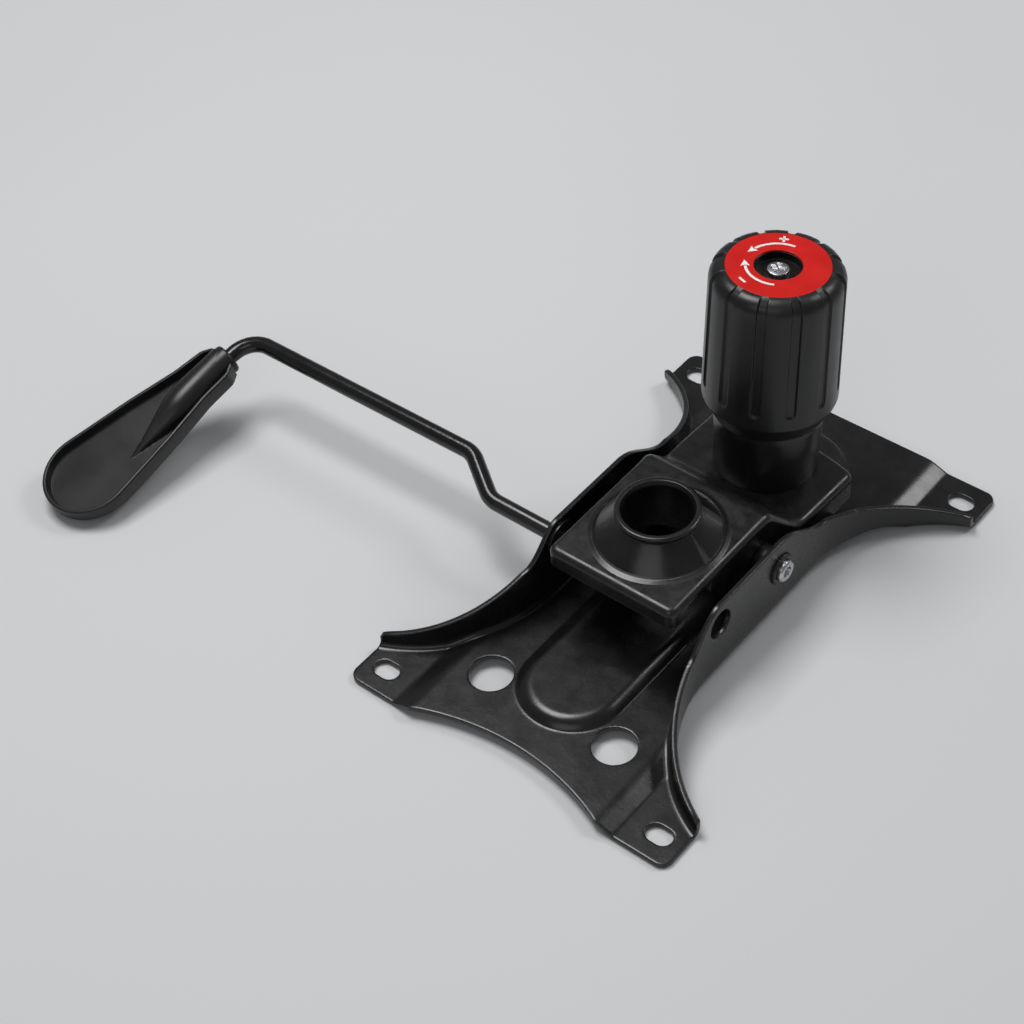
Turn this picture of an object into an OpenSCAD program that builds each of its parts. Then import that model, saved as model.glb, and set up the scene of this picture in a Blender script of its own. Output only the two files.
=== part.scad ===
// Office chair tilt mechanism, lying upside down on its seat plate.
// The origin is the centre of the four seat slots, on the face that meets the seat.
// +Y is the chair's front, +Z points away from the seat, and the lever leaves towards -X.
// All lengths are millimetres and all angles are degrees.

/* [Seat plate] */
// Slot spacing across the chair
hole_x = 150; // [130:1:190]
// Slot spacing from front to back
hole_y = 235; // [215:1:260]
// Width of a slot
slot_w = 9; // [7:0.5:10]
// End-to-end length of a slot, across the chair
slot_l = 12.5; // [11:0.5:16]
// Ear beyond the slot's centre, sideways
ear_margin_x = 12; // [10:0.5:16]
// Ear beyond the slot's centre, endways
ear_margin_y = 12.5; // [10:0.5:16]
// Corner radius of an ear
ear_corner_r = 5; // [2:0.5:8]
// Thickness of the plate's sheet
sheet = 2.5; // [2:0.1:3]
// Rise of the web above the ears
web_rise = 3.7; // [2.5:0.1:6]
// Slot's centre to the foot of the joggle
joggle_in = 15; // [13:0.5:18]
// Width of the joggle's slope
joggle_run = 9; // [5:0.5:12]
// Depth of the hollow in the rear edge
rear_hollow = 11; // [4:0.5:16]
// Length of the raised pad along the web
pad_l = 207; // [190:1:212]
// Width of the raised pad at its foot
pad_w = 51; // [44:1:54]
// Rise of the pad above the web
pad_rise = 3.8; // [2.5:0.1:6]
// Width of the pad's sloping edge
pad_slope = 4; // [2:0.5:6]
// Diameter of the two lightening holes
lighten_d = 20; // [12:0.5:22]
// Spacing of the lightening holes
lighten_x = 68; // [66:1:72]
// Lightening holes ahead of the rear slots
lighten_fore = 23.5; // [20:0.5:27]

/* [Side flanges] */
// Width over the flanges at the waist
waist_w = 90; // [86:1:110]
// Length of the straight waist
waist_l = 82; // [70:1:90]
// Radius of the flare from the waist out to the ears
flare_r = 70; // [60:1:80]
// Flange above the pivot's centre
crest_up = 16; // [12:0.5:19]
// Height of the flange at its shoulder
shoulder_z = 30; // [24:0.5:34]
// Length of the front shoulder's curve
shoulder_front = 36; // [24:1:44]
// Length of the rear shoulder's curve
shoulder_rear = 24; // [16:1:32]
// Height of the flange at the ear's end
flange_end_z = 9.5; // [6:0.5:14]

/* [Pivot] */
// Pivot ahead of the slot pattern's centre
pivot_y = 13; // [6:0.5:18]
// Pivot above the seat face
pivot_z = 30; // [29:0.5:36]
// Diameter of the axle
axle_d = 10; // [8:0.5:12]
// Diameter of the axle's peened heads
axle_head_d = 11.6; // [11:0.1:13]
// Length of a peened head
axle_head_l = 3; // [2:0.1:4]
// Diameter of the centre mark in an axle end
axle_mark_d = 5; // [3:0.5:6]
// Depth of the centre mark
axle_mark_h = 1.6; // [0.8:0.1:2.4]
// Wall of a pivot bush
bush_wall = 1.7; // [1.2:0.1:2.5]
// Diameter of a pivot bush's collar
bush_collar_d = 15.4; // [15:0.1:18]
// Thickness of a pivot bush's collar
bush_collar_t = 1.5; // [1:0.1:2.5]
// Outside diameter of an axle spacer
spacer_d = 15; // [13:0.5:18]
// Outside diameter of the tube across the housing
pivot_tube_d = 15; // [13:0.5:17]

/* [Housing] */
// Column's axis behind the pivot
column_back = 28.5; // [27:0.5:32]
// Length of the square platform
platform_l = 73; // [66:1:80]
// Platform above the pivot
platform_up = 20.5; // [20:0.5:26]
// Platform's side inside the front floor's side
platform_inset = 4.5; // [3:0.5:6]
// Gap between the housing and a flange
side_gap = 4; // [3:0.5:6]
// Corner radius at the back of the platform
platform_r = 4; // [3:0.5:10]
// Height of the skirt at the back
skirt_h = 9.5; // [6:0.5:12]
// Room round the lever's clip in the side walls
notch_room = 2; // [1.5:0.5:4]
// Depth of the side walls below the pivot
wall_down = 14; // [11:0.5:16]
// Length of the sloping rear end of the side walls
wall_slope = 20; // [12:1:24]
// Front floor behind the knob's axis
floor_back = 27; // [26:0.5:30]
// Front floor ahead of the knob's axis
floor_fore = 22; // [22:0.5:30]
// Corner radius at the front of the floor
floor_r = 13; // [8:0.5:20]
// Thickness of the housing's sheet
shell = 2.5; // [2:0.1:3]

/* [Column socket] */
// Radius of the bore for the gas-lift column
bore_r = 14; // [12:0.25:14.5]
// Wall of the socket's tube
socket_wall = 3; // [2.5:0.25:4]
// Height of the cone above the platform
cone_h = 14.7; // [10:0.1:20]
// Diameter of the cone's foot
cone_d = 57; // [50:0.5:64]
// Diameter of the cone's rim
rim_d = 38.6; // [38:0.2:44]
// Rounding of the rim's outer edge
rim_round = 1.8; // [1:0.1:2]
// Chamfer at the bore's mouth
mouth_chamfer = 1.8; // [1:0.1:2]
// Depth of the tube below the platform
tube_down = 10.5; // [6:0.5:11]
// Leg of the weld round the cone's foot
weld = 1.6; // [1:0.1:2]

/* [Tension bolt and spring] */
// Knob's axis ahead of the pivot, at the front floor
bolt_fore = 52.8; // [50:0.5:58]
// Lean of the knob's axis towards the front
lean = 3.5; // [2:0.5:7]
// Diameter of the bolt
bolt_d = 10; // [8:0.5:12]
// Diameter of the bolt's cross bar
bar_d = 6; // [5:0.5:6]
// Length of the bolt's cross bar
bar_l = 26; // [18:1:30]
// Bolt's hold in the knob's insert
bolt_hold = 15; // [10:0.5:18]
// Radial room for the bolt in the seat plate
plate_room = 2; // [1:0.5:4]
// Radial room for the bolt in the front floor
bolt_room = 4.5; // [2:0.5:5]
// Wire of the spring
wire_d = 6; // [4:0.5:7]
// Outside diameter of the spring
spring_d = 39; // [34:0.5:41]
// Turns of the spring
spring_turns = 7; // [5:0.5:8]
// Thickness of the spring's seat
seat_t = 2; // [1.5:0.5:3]
// Height of the collar that centres the spring
seat_collar_h = 6; // [3:0.5:10]
// Wall of that collar
seat_collar_wall = 2; // [1.5:0.5:3]
// Thickness of the thrust washer
thrust_t = 2.5; // [2:0.5:4]
// Diameter of the thrust washer
thrust_d = 42; // [34:0.5:46]

/* [Sleeve and knob] */
// Outside diameter of the sleeve at its top
sleeve_d = 50; // [48:0.5:52]
// Narrowing of the sleeve towards its foot
sleeve_taper = 2; // [0:0.5:3]
// Wall of the sleeve
sleeve_wall = 2; // [1.5:0.1:2.5]
// Sleeve that shows under the knob
sleeve_show = 32.5; // [22:0.5:36]
// Sleeve inside the knob at rest
sleeve_lap = 8; // [7:0.5:12]
// Radial gap at the knob's mouth
mouth_gap = 0.8; // [0.7:0.1:1.2]
// Radial gap inside the knob
knob_gap = 2.2; // [1.8:0.1:2.5]
// Length of the knob's narrow mouth
mouth_l = 3; // [2:0.5:5]
// Height of the knob
knob_h = 78; // [72:0.5:90]
// Diameter of the knob at its foot
knob_foot_d = 61.6; // [60:0.2:66]
// Diameter of the knob at its top
knob_top_d = 59.4; // [58.8:0.2:62]
// Rounding of the knob's top edge
knob_round = 7; // [4:0.5:8]
// Height of the chamfer at the knob's foot
knob_chamfer = 9.5; // [5:0.5:10]
// Lip left at the knob's mouth
knob_lip = 1; // [0.8:0.1:1.6]
// Number of grooves round the knob
groove_count = 12; // [8:1:16]
// Width of a groove
groove_w = 3.4; // [2:0.1:4]
// Depth of a groove
groove_depth = 1.2; // [0.6:0.1:1.3]
// Plain band below the grooves
groove_foot = 16.5; // [10:0.5:24]
// Top of the knob to the thrust washer
hub_h = 38.5; // [36:0.5:42]
// Gap between the hub and the thrust washer
hub_gap = 0.5; // [0.3:0.1:1]
// Outside diameter of the knob's hub
hub_d = 28; // [25:0.5:32]
// Thickness of the knob's top
crown_t = 10; // [8:0.5:12]
// Width of the insert across its flats
insert_af = 17; // [15:0.5:19]
// Length of the insert
insert_l = 29; // [27:0.5:30]
// Diameter of the label
label_d = 46; // [42:0.5:47]
// Thickness of the label
label_t = 0.8; // [0.5:0.1:1.2]
// Diameter of the recess in the knob's top
recess_d = 21; // [18:0.5:24]
// Depth of that recess
recess_h = 5; // [4:0.5:5.5]
// Diameter of the knob screw's head
screw_head_d = 10.6; // [9:0.2:12]
// Diameter of the flat on that head
screw_flat_d = 8.5; // [7:0.1:9]
// Height of the knob screw's head
screw_head_h = 3; // [2.4:0.1:3.4]
// Diameter of the knob screw's shank
screw_d = 6; // [5:0.5:6]
// Hold of the knob screw in the insert
screw_hold = 7; // [5:0.5:8]
// Width of the screw's cross recess
cross_w = 1.8; // [1:0.1:2]
// Length of the screw's cross recess
cross_l = 6.4; // [5:0.1:7]
// Depth of the screw's cross recess
cross_h = 1.5; // [1:0.1:1.8]
// Thickness of the screw's washer
screw_washer_t = 1; // [0.6:0.1:1.2]
// Diameter of the screw's washer
screw_washer_d = 14; // [12.5:0.5:16]
// Thread's pitch
pitch = 1.5; // [1.25:0.25:1.75]
// Turns of the knob either way
knob_turns = 3; // [1:0.5:3]

/* [Lever] */
// Rod's axis behind the pivot
lever_back = 45; // [43.5:0.5:48]
// Rod's axis above the pivot
lever_up = 4.5; // [2:0.5:4.5]
// Diameter of the rod
rod_d = 8; // [7:0.5:8]
// Wall of the lever's bush
lever_bush_wall = 3; // [2:0.25:3]
// Collar of the lever's bush beyond its body
lever_collar = 2; // [1:0.5:3]
// Thickness of that collar
lever_collar_t = 1.5; // [1:0.1:2.5]
// Pull of the lever, outwards
lever_pull = 12; // [6:0.5:13]
// Rod's inner end, from the middle
rod_inner = 18; // [17.5:0.25:19]
// Flange to the start of the crank
crank_out = 38; // [25:1:50]
// Length of the crank along the rod
crank_run = 23; // [18:1:32]
// Offset of the crank
crank_offset = 16; // [10:0.1:18]
// Offset of the rod at the handle's bend
bend_offset = 14.5; // [8:0.1:18]
// Flange to the handle's bend
handle_out = 201.5; // [160:0.1:230]
// Turn of the rod at the handle
handle_turn = 79.5; // [60:0.5:90]
// Radius of the rod's bends, at its centre
bend_r = 14; // [9:0.5:16]
// Bend to the handle's end
handle_start = 14.5; // [14:0.5:24]
// Length of the handle
handle_l = 112; // [90:1:130]
// Width of the handle near its tip
handle_w = 47; // [30:0.5:52]
// Width of the handle at the rod
handle_neck_w = 24; // [16.5:0.5:24]
// Thickness of the handle's rim
handle_t = 9; // [8:0.5:13]
// Width of the handle's rim
handle_rim = 2.8; // [2:0.1:4]
// Thickness of the handle's web
handle_web = 3.4; // [2.5:0.1:5]
// Length of the boss along the handle
boss_l = 66; // [55:1:75]
// Straight length of the boss, before it tapers
boss_full = 34; // [20:1:40]
// Diameter of the boss at the rod
boss_d = 16; // [13:0.5:16]
// Length of the collar at the boss's end
ferrule_l = 6; // [4:0.5:8]
// Rod inside the handle
rod_in_handle = 30; // [20:1:34]
// Handle's tip above the surface that the ears stand on
tip_gap = 0.6; // [0.4:0.1:4]
// Thickness of the release tongue
tongue_t = 3; // [2.5:0.5:4]
// Width of the release tongue
tongue_w = 12; // [8:0.5:13]
// Tongue beyond the column's axis
tongue_past = 5; // [2:0.5:6]
// Length of the tongue's saddle along the rod
saddle_l = 8; // [6:0.5:9]
// Rise of the saddle round the rod
saddle_up = 2; // [1:0.25:2.5]
// Thickness of the lever's clip
clip_t = 1.2; // [1:0.1:1.6]
// Diameter of the lever's clip
clip_d = 13; // [12:0.5:14]
// Diameter of the clip's groove
clip_groove_d = 6.6; // [5.5:0.1:6.8]

/* [Rest pads] */
// Length of a rest pad
rest_l = 16; // [10:1:24]
// Width of a rest pad
rest_w = 9; // [6:0.5:11]

/* [Fits] */
// Radial clearance of a shaft that turns in its bush
run_fit = 0.05; // [0.03:0.01:0.1]
// Radial clearance of a piece that is held fast
held_fit = 0.03; // [0.02:0.01:0.06]
// Gap between faces that move past each other
face_gap = 0.3; // [0.2:0.05:0.5]
// Gap at a seat that carries load
seat_gap = 0.1; // [0.05:0.05:0.2]

/* [Hidden] */
$fn = 72;

// Colours, as the photo shows them
black_paint = [0.08, 0.08, 0.09];
black_plastic = [0.12, 0.12, 0.13];
zinc = [0.75, 0.76, 0.78];
steel = [0.55, 0.56, 0.58];
label_red = [0.80, 0.10, 0.08];
rubber = [0.05, 0.05, 0.05];

// Overlap that makes a cut pass its face
cut = 1;

// Plate
half_w = hole_x / 2 + ear_margin_x;
half_l = hole_y / 2 + ear_margin_y;
web_top = web_rise + sheet;
pad_top = web_top + pad_rise;
joggle_foot_x = hole_x / 2 - joggle_in;
joggle_head_x = joggle_foot_x - joggle_run;
rear_r = (joggle_head_x * joggle_head_x + rear_hollow * rear_hollow) / (2 * rear_hollow);
flange_x = waist_w / 2;
flange_in_x = flange_x - sheet;
flare_x = flange_x + flare_r;
flange_end_y = waist_l / 2 + sqrt(flare_r * flare_r - (flare_x - half_w) * (flare_x - half_w));
crest_z = pivot_z + crest_up;

// Pivot
bush_bore_d = axle_d + 2 * run_fit;
bush_d = bush_bore_d + 2 * bush_wall;
pivot_hole_d = bush_d + 2 * held_fit;
bush_out_x = flange_x + bush_collar_t;
axle_half = bush_out_x + face_gap + axle_head_l;

// Housing
floor_half = flange_in_x - side_gap;
platform_half = floor_half - platform_inset;
column_y = pivot_y - column_back;
platform_z = pivot_z + platform_up;
platform_rear = column_y - platform_l / 2;
platform_front = column_y + platform_l / 2;
widen_start = max(platform_front, pivot_y + spacer_d / 2);
base_y = pivot_y + bolt_fore;
base_z = pivot_z;
floor_start = base_y - floor_back;
floor_end = base_y + floor_fore;
wall_z = pivot_z - wall_down;
skirt_z = platform_z - skirt_h;

// Lever's place
lever_y = pivot_y - lever_back;
lever_z = pivot_z + lever_up;
notch_half = clip_d / 2 + notch_room;

// Bolt's frame: distances run along the leaning axis from the cross bar
anchor_z = pad_top - sheet - bar_d / 2 - seat_gap;
anchor_y = base_y - (base_z - anchor_z) * tan(lean);
floor_s = (base_z - anchor_z) / cos(lean);
mouth_s = floor_s + sleeve_show;
top_s = mouth_s + knob_h;
thrust_top_s = top_s - hub_h;
thrust_s = thrust_top_s - thrust_t;
insert_s = thrust_top_s + seat_gap;
insert_end_s = insert_s + insert_l;
bolt_end_s = insert_s + bolt_hold;
recess_s = top_s - recess_h;
spring_s = floor_s + seat_t + face_gap;
spring_l = thrust_s - face_gap - spring_s;
travel = pitch * knob_turns;

// Height of the front floor's upper face
function floor_z(y) = base_z - (y - base_y) * tan(lean);

// Share of a smooth rise from 0 to 1
function ease(t) = (1 - cos(180 * t)) / 2;

// Upper edge of a flange, from rear to front, as [y, z]
shoulder_steps = 8;
flange_edge = concat(
    [[-half_l, flange_end_z], [-flange_end_y, flange_end_z]],
    [for (i = [0 : shoulder_steps])
        [lever_y - shoulder_rear * (1 - i / shoulder_steps),
         shoulder_z + (crest_z - shoulder_z) * ease(i / shoulder_steps)]],
    [for (i = [0 : shoulder_steps])
        [pivot_y + shoulder_front * i / shoulder_steps,
         crest_z - (crest_z - shoulder_z) * ease(i / shoulder_steps)]],
    [[flange_end_y, flange_end_z], [half_l, flange_end_z]]
);

// Rectangle with round corners
module round_rect(x, y, r) {
    square([x - 2 * r, y], center = true);
    square([x, y - 2 * r], center = true);
    for (i = [-1, 1], j = [-1, 1])
        translate([i * (x / 2 - r), j * (y / 2 - r)]) circle(r);
}

// An outline in Y and Z, carried along X over the given width
module along_x(width) {
    rotate([90, 0, 90]) linear_extrude(width, center = true) children();
}

// An outline in X and Z, carried along Y over the given length
module along_y(length) {
    rotate([90, 0, 0]) linear_extrude(length, center = true) children();
}

// A round bar along X, centred
module bar_x(length, d) {
    rotate([0, 90, 0]) cylinder(h = length, d = d, center = true);
}

// Both sides of the chair
module both_sides() {
    children();
    mirror([1, 0, 0]) children();
}

// Frame of the bolt and knob, at a distance along their axis
module on_bolt(s = 0) {
    translate([0, anchor_y, anchor_z]) rotate([-lean, 0, 0]) translate([0, 0, s]) children();
}

// A tube with a plain bore
module ring(h, d, bore) {
    difference() {
        cylinder(h = h, d = d);
        translate([0, 0, -cut]) cylinder(h = h + 2 * cut, d = bore);
    }
}

// Seat plate

// Space outside one flange's outer face, grown by a distance towards the middle
module outside_waist(grow) {
    translate([flange_x - grow, -waist_l / 2]) square([half_w, waist_l]);
    for (j = [-1, 1]) translate([flare_x, j * waist_l / 2]) circle(flare_r + grow, $fn = 144);
}

module plate_outline() {
    difference() {
        round_rect(2 * half_w, 2 * half_l, ear_corner_r);
        both_sides() outside_waist(0);
        translate([0, -half_l + rear_hollow - rear_r]) circle(rear_r, $fn = 144);
    }
}

module flange_outline() {
    intersection() {
        difference() {
            outside_waist(sheet);
            outside_waist(0);
        }
        translate([0, -half_l]) square([half_w, 2 * half_l]);
    }
}

// Section of the plate across the chair, from the underside up by the given height
module plate_section(up) {
    polygon([
        [-half_w, 0], [-joggle_foot_x, 0], [-joggle_head_x, web_rise],
        [joggle_head_x, web_rise], [joggle_foot_x, 0], [half_w, 0],
        [half_w, up], [joggle_foot_x, up], [joggle_head_x, web_rise + up],
        [-joggle_head_x, web_rise + up], [-joggle_foot_x, up], [-half_w, up]
    ]);
}

// Raised pad with round ends, standing on the given height
module pad_form(z) {
    foot = pad_w / 2;
    head = foot - pad_slope;
    centre = pad_l / 2 - foot;
    for (j = [-1, 1]) translate([0, j * centre, z]) cylinder(h = pad_rise, r1 = foot, r2 = head);
    along_y(2 * centre)
        polygon([[-foot, z], [foot, z], [head, z + pad_rise], [-head, z + pad_rise]]);
}

module slot_cut() {
    reach = slot_l / 2 - slot_w / 2;
    translate([-reach, -slot_w / 2, -cut]) cube([2 * reach, slot_w, sheet + 2 * cut]);
    for (i = [-1, 1]) translate([i * reach, 0, -cut]) cylinder(h = sheet + 2 * cut, d = slot_w);
}

module seat_plate() color(black_paint) difference() {
    union() {
        intersection() {
            along_y(2 * half_l) plate_section(sheet);
            linear_extrude(pad_top) plate_outline();
        }
        pad_form(web_top);
        intersection() {
            both_sides() linear_extrude(crest_z) flange_outline();
            along_x(2 * half_w)
                polygon(concat([[half_l, 0], [-half_l, 0]], flange_edge));
            along_y(2 * half_l) plate_section(crest_z);
        }
    }
    pad_form(web_rise);
    for (i = [-1, 1], j = [-1, 1]) translate([i * hole_x / 2, j * hole_y / 2, 0]) slot_cut();
    for (i = [-1, 1]) translate([i * lighten_x / 2, lighten_fore - hole_y / 2, 0])
        cylinder(h = pad_top, d = lighten_d);
    on_bolt(0) cylinder(h = pad_top, r = bolt_d / 2 + plate_room);
    translate([0, pivot_y, pivot_z]) bar_x(waist_w + 2 * cut, pivot_hole_d);
    translate([0, lever_y, lever_z]) bar_x(waist_w + 2 * cut, lever_hole_d);
}

// Pivot bush: a sleeve through the flange with a collar outside
module pivot_bushes() color(black_plastic) both_sides()
    translate([flange_in_x, pivot_y, pivot_z]) rotate([0, 90, 0]) {
        ring(sheet + bush_collar_t, bush_d, bush_bore_d);
        translate([0, 0, sheet]) ring(bush_collar_t, bush_collar_d, bush_bore_d);
    }

// Lever bush in the left flange, with its collar inside
lever_bush_bore_d = rod_d + 2 * run_fit;
lever_bush_d = lever_bush_bore_d + 2 * lever_bush_wall;
lever_hole_d = lever_bush_d + 2 * held_fit;
lever_collar_x = flange_in_x - lever_collar_t;

module lever_bush() color(black_plastic)
    translate([-flange_x, lever_y, lever_z]) rotate([0, 90, 0]) {
        ring(sheet + lever_collar_t, lever_bush_d, lever_bush_bore_d);
        translate([0, 0, sheet])
            ring(lever_collar_t, lever_bush_d + 2 * lever_collar, lever_bush_bore_d);
    }

// Rubber pads on the web, under the housing's side walls
module rest_pads() color(rubber) both_sides()
    translate([floor_half - shell / 2 - rest_w / 2, base_y - rest_l, web_top])
        cube([rest_w, rest_l, wall_z - face_gap - web_top]);

// Housing

// Half the bend between platform and ramp, and between ramp and floor
ramp_angle = atan2(platform_z - floor_z(floor_start), floor_start - platform_front);
ramp_head = tan(ramp_angle / 2);
ramp_foot = tan((ramp_angle - lean) / 2);

// Side view of the housing, with its skin drawn in by d; the inside is open below
function housing_side(d) = [
    [platform_rear + d, d > 0 ? 0 : skirt_z],
    [platform_rear + d, platform_z - d],
    [platform_front - d * ramp_head, platform_z - d],
    [floor_start - d * ramp_foot, floor_z(floor_start) - d],
    [floor_end - d, floor_z(floor_end) - d],
    [floor_end - d, d > 0 ? 0 : wall_z],
    [wall_rear + wall_slope, d > 0 ? 0 : wall_z],
    [wall_rear, d > 0 ? 0 : skirt_z]
];

// Rear end of the deep side walls, just ahead of the lever's notch
wall_rear = lever_y + notch_half;

// Plan of the housing, with its skin drawn in by d
module housing_plan(d) {
    front_l = floor_end - floor_start;
    translate([0, column_y]) round_rect(2 * (platform_half - d), platform_l - 2 * d, platform_r - d);
    translate([0, floor_end - d - front_l / 2])
        round_rect(2 * (floor_half - d), front_l, floor_r - d);
    polygon([
        [platform_half - d, column_y], [platform_half - d, widen_start],
        [floor_half - d, floor_start], [floor_half - d, base_y],
        [d - floor_half, base_y], [d - floor_half, floor_start],
        [d - platform_half, widen_start], [d - platform_half, column_y]
    ]);
}

module housing_block(d) {
    intersection() {
        along_x(2 * floor_half) polygon(housing_side(d));
        linear_extrude(platform_z) housing_plan(d);
    }
}

module housing() color(black_paint) difference() {
    housing_block(0);
    housing_block(shell);
    translate([0, column_y, 0]) cylinder(h = platform_z + cut, r = bore_r + socket_wall + held_fit);
    translate([0, pivot_y, pivot_z]) bar_x(waist_w, axle_d + 2 * held_fit);
    on_bolt(floor_s - shell - cut) cylinder(h = shell + 2 * cut, r = bolt_d / 2 + bolt_room);
    translate([-floor_half - cut, lever_y - notch_half, 0])
        cube([2 * (floor_half + cut), 2 * notch_half, platform_z - shell]);
}

// Socket for the gas-lift column: a cone on the platform and a tube through it
module column_socket() color(black_paint) translate([0, column_y, platform_z]) rotate_extrude() {
    tube_r = bore_r + socket_wall;
    rim_r = rim_d / 2;
    polygon([
        [bore_r, -tube_down], [tube_r, -tube_down], [tube_r, 0],
        [cone_d / 2 + weld, 0], [cone_d / 2, weld], [rim_r, cone_h - rim_round],
        [rim_r - rim_round, cone_h], [bore_r + mouth_chamfer, cone_h],
        [bore_r, cone_h - mouth_chamfer]
    ]);
    translate([rim_r - rim_round, cone_h - rim_round]) circle(rim_round);
}

// Axle with a peened head and a centre mark at each end
module pivot_axle() color(zinc) translate([0, pivot_y, pivot_z]) difference() {
    union() {
        bar_x(2 * axle_half, axle_d);
        for (i = [-1, 1]) translate([i * (axle_half - axle_head_l / 2), 0, 0])
            bar_x(axle_head_l, axle_head_d);
    }
    for (i = [-1, 1]) translate([i * axle_half, 0, 0]) bar_x(2 * axle_mark_h, axle_mark_d);
}

module pivot_tube() color(black_paint)
    translate([held_fit + shell - platform_half, pivot_y, pivot_z]) rotate([0, 90, 0])
        ring(2 * (platform_half - shell - held_fit), pivot_tube_d, axle_d + 2 * held_fit);

// Spacers on the axle between the housing's walls and the flanges
module axle_spacers() color(black_plastic) both_sides()
    translate([platform_half, pivot_y, pivot_z]) rotate([0, 90, 0])
        ring(flange_in_x - platform_half - face_gap, spacer_d, axle_d + 2 * held_fit);

// Spring, its seat and its sleeve

seat_bore_d = bolt_d + 2 * bolt_room;

module spring_seat() color(steel) on_bolt(floor_s) {
    ring(seat_t, spring_d, seat_bore_d);
    ring(seat_t + seat_collar_h, seat_bore_d + 2 * seat_collar_wall, seat_bore_d);
}

module spring_sleeve() color(black_plastic) on_bolt(floor_s) {
    h = sleeve_show + sleeve_lap;
    foot_r = sleeve_d / 2 - sleeve_taper / 2;
    rotate_extrude() polygon([
        [foot_r - sleeve_wall, 0], [foot_r, 0],
        [sleeve_d / 2, sleeve_show], [sleeve_d / 2, h],
        [sleeve_d / 2 - sleeve_wall, h], [sleeve_d / 2 - sleeve_wall, sleeve_show]
    ]);
}

// The spring is one round wire along a helix, as rings of points and a cap at each end
wire_sides = 6;
turn_rings = 24;
spring_rings = round(spring_turns * turn_rings);
spring_mean_r = spring_d / 2 - wire_d / 2;
spring_lead = (spring_l - wire_d) / spring_turns;

function spring_centre(i) = let (a = 360 * i / turn_rings)
    [spring_mean_r * cos(a), spring_mean_r * sin(a), wire_d / 2 + spring_lead * i / turn_rings];

function wire_ring(i) = let (a = 360 * i / turn_rings, c = spring_centre(i))
    [for (k = [0 : wire_sides - 1]) let (b = 360 * k / wire_sides, out = wire_d / 2 * cos(b))
        [c[0] + out * cos(a), c[1] + out * sin(a), c[2] + wire_d / 2 * sin(b)]];

spring_points = [for (i = [0 : spring_rings], p = wire_ring(i)) p];
spring_sides = [for (i = [0 : spring_rings - 1], k = [0 : wire_sides - 1], half = [0, 1])
    let (a = i * wire_sides + k, b = i * wire_sides + (k + 1) % wire_sides)
        half == 0 ? [a, a + wire_sides, b] : [b, a + wire_sides, b + wire_sides]];
spring_caps = [for (k = [1 : wire_sides - 2], end = [0, 1])
    end == 0 ? [0, k, k + 1]
             : [for (v = [0, k + 1, k]) spring_rings * wire_sides + v]];

spring_least_gap = min([for (i = [0 : spring_rings - turn_rings])
    norm(spring_centre(i + turn_rings) - spring_centre(i)) - wire_d]);
echo(spring_least_gap = spring_least_gap);

module tension_spring() color(steel) on_bolt(spring_s)
    polyhedron(points = spring_points, faces = concat(spring_sides, spring_caps));

// Bolt with a round cross bar that rocks under the pad
module tension_bolt() color(steel) on_bolt() {
    cylinder(h = bolt_end_s, d = bolt_d);
    bar_x(bar_l, bar_d);
}

module thrust_washer() color(steel) on_bolt(thrust_s)
    ring(thrust_t, thrust_d, bolt_d + 2 * run_fit);

// Knob

knob_bore_r = sleeve_d / 2 + knob_gap;
knob_mouth_r = sleeve_d / 2 + mouth_gap;
knob_foot_r = knob_foot_d / 2;
knob_top_r = knob_top_d / 2;
groove_lean = atan((knob_foot_r - knob_top_r) / (knob_h - knob_chamfer - knob_round));
insert_round_d = insert_af / cos(30);

// Section of the knob's outside, from its mouth up
module knob_skin() {
    polygon([
        [0, 0], [knob_mouth_r + knob_lip, 0], [knob_foot_r, knob_chamfer],
        [knob_top_r, knob_h - knob_round], [knob_top_r - knob_round, knob_h], [0, knob_h]
    ]);
    translate([knob_top_r - knob_round, knob_h - knob_round]) circle(knob_round);
}

// One groove, sunk into the knob's side and running out over its top edge
module groove_cut() {
    r = groove_w / 2;
    l = knob_h - groove_foot;
    translate([knob_foot_r + r - groove_depth, 0, groove_foot]) rotate([0, -groove_lean, 0]) {
        cylinder(h = l, r = r, $fn = 24);
        sphere(r, $fn = 24);
    }
}

module knob() color(black_plastic) on_bolt(mouth_s) difference() {
    rotate_extrude() knob_skin();
    translate([0, 0, -cut]) cylinder(h = mouth_l + 2 * cut, r = knob_mouth_r);
    translate([0, 0, mouth_l]) cylinder(h = knob_h - hub_h + hub_gap - mouth_l, r = knob_bore_r);
    difference() {
        translate([0, 0, mouth_l]) cylinder(h = knob_h - crown_t - mouth_l, r = knob_bore_r);
        cylinder(h = knob_h, d = hub_d);
    }
    translate([0, 0, insert_s - mouth_s - cut])
        cylinder(h = insert_l + cut, d = insert_round_d + 2 * held_fit, $fn = 6);
    translate([0, 0, knob_h - recess_h]) cylinder(h = recess_h + cut, d = recess_d);
    cylinder(h = knob_h, d = screw_d + 2 * held_fit);
    translate([0, 0, knob_h - label_t]) cylinder(h = label_t + cut, d = label_d + 2 * held_fit);
    for (i = [0 : groove_count - 1]) rotate(360 * (i + 0.5) / groove_count) groove_cut();
}

module knob_label() color(label_red) on_bolt(top_s - label_t) ring(label_t, label_d, recess_d);

module knob_insert() color(steel) on_bolt(insert_s) difference() {
    cylinder(h = insert_l, d = insert_round_d, $fn = 6);
    translate([0, 0, -cut]) cylinder(h = cut + bolt_hold + travel + seat_gap, d = bolt_d + 2 * run_fit);
    translate([0, 0, insert_l - screw_hold - seat_gap])
        cylinder(h = screw_hold + seat_gap + cut, d = screw_d + 2 * held_fit);
}

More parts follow.
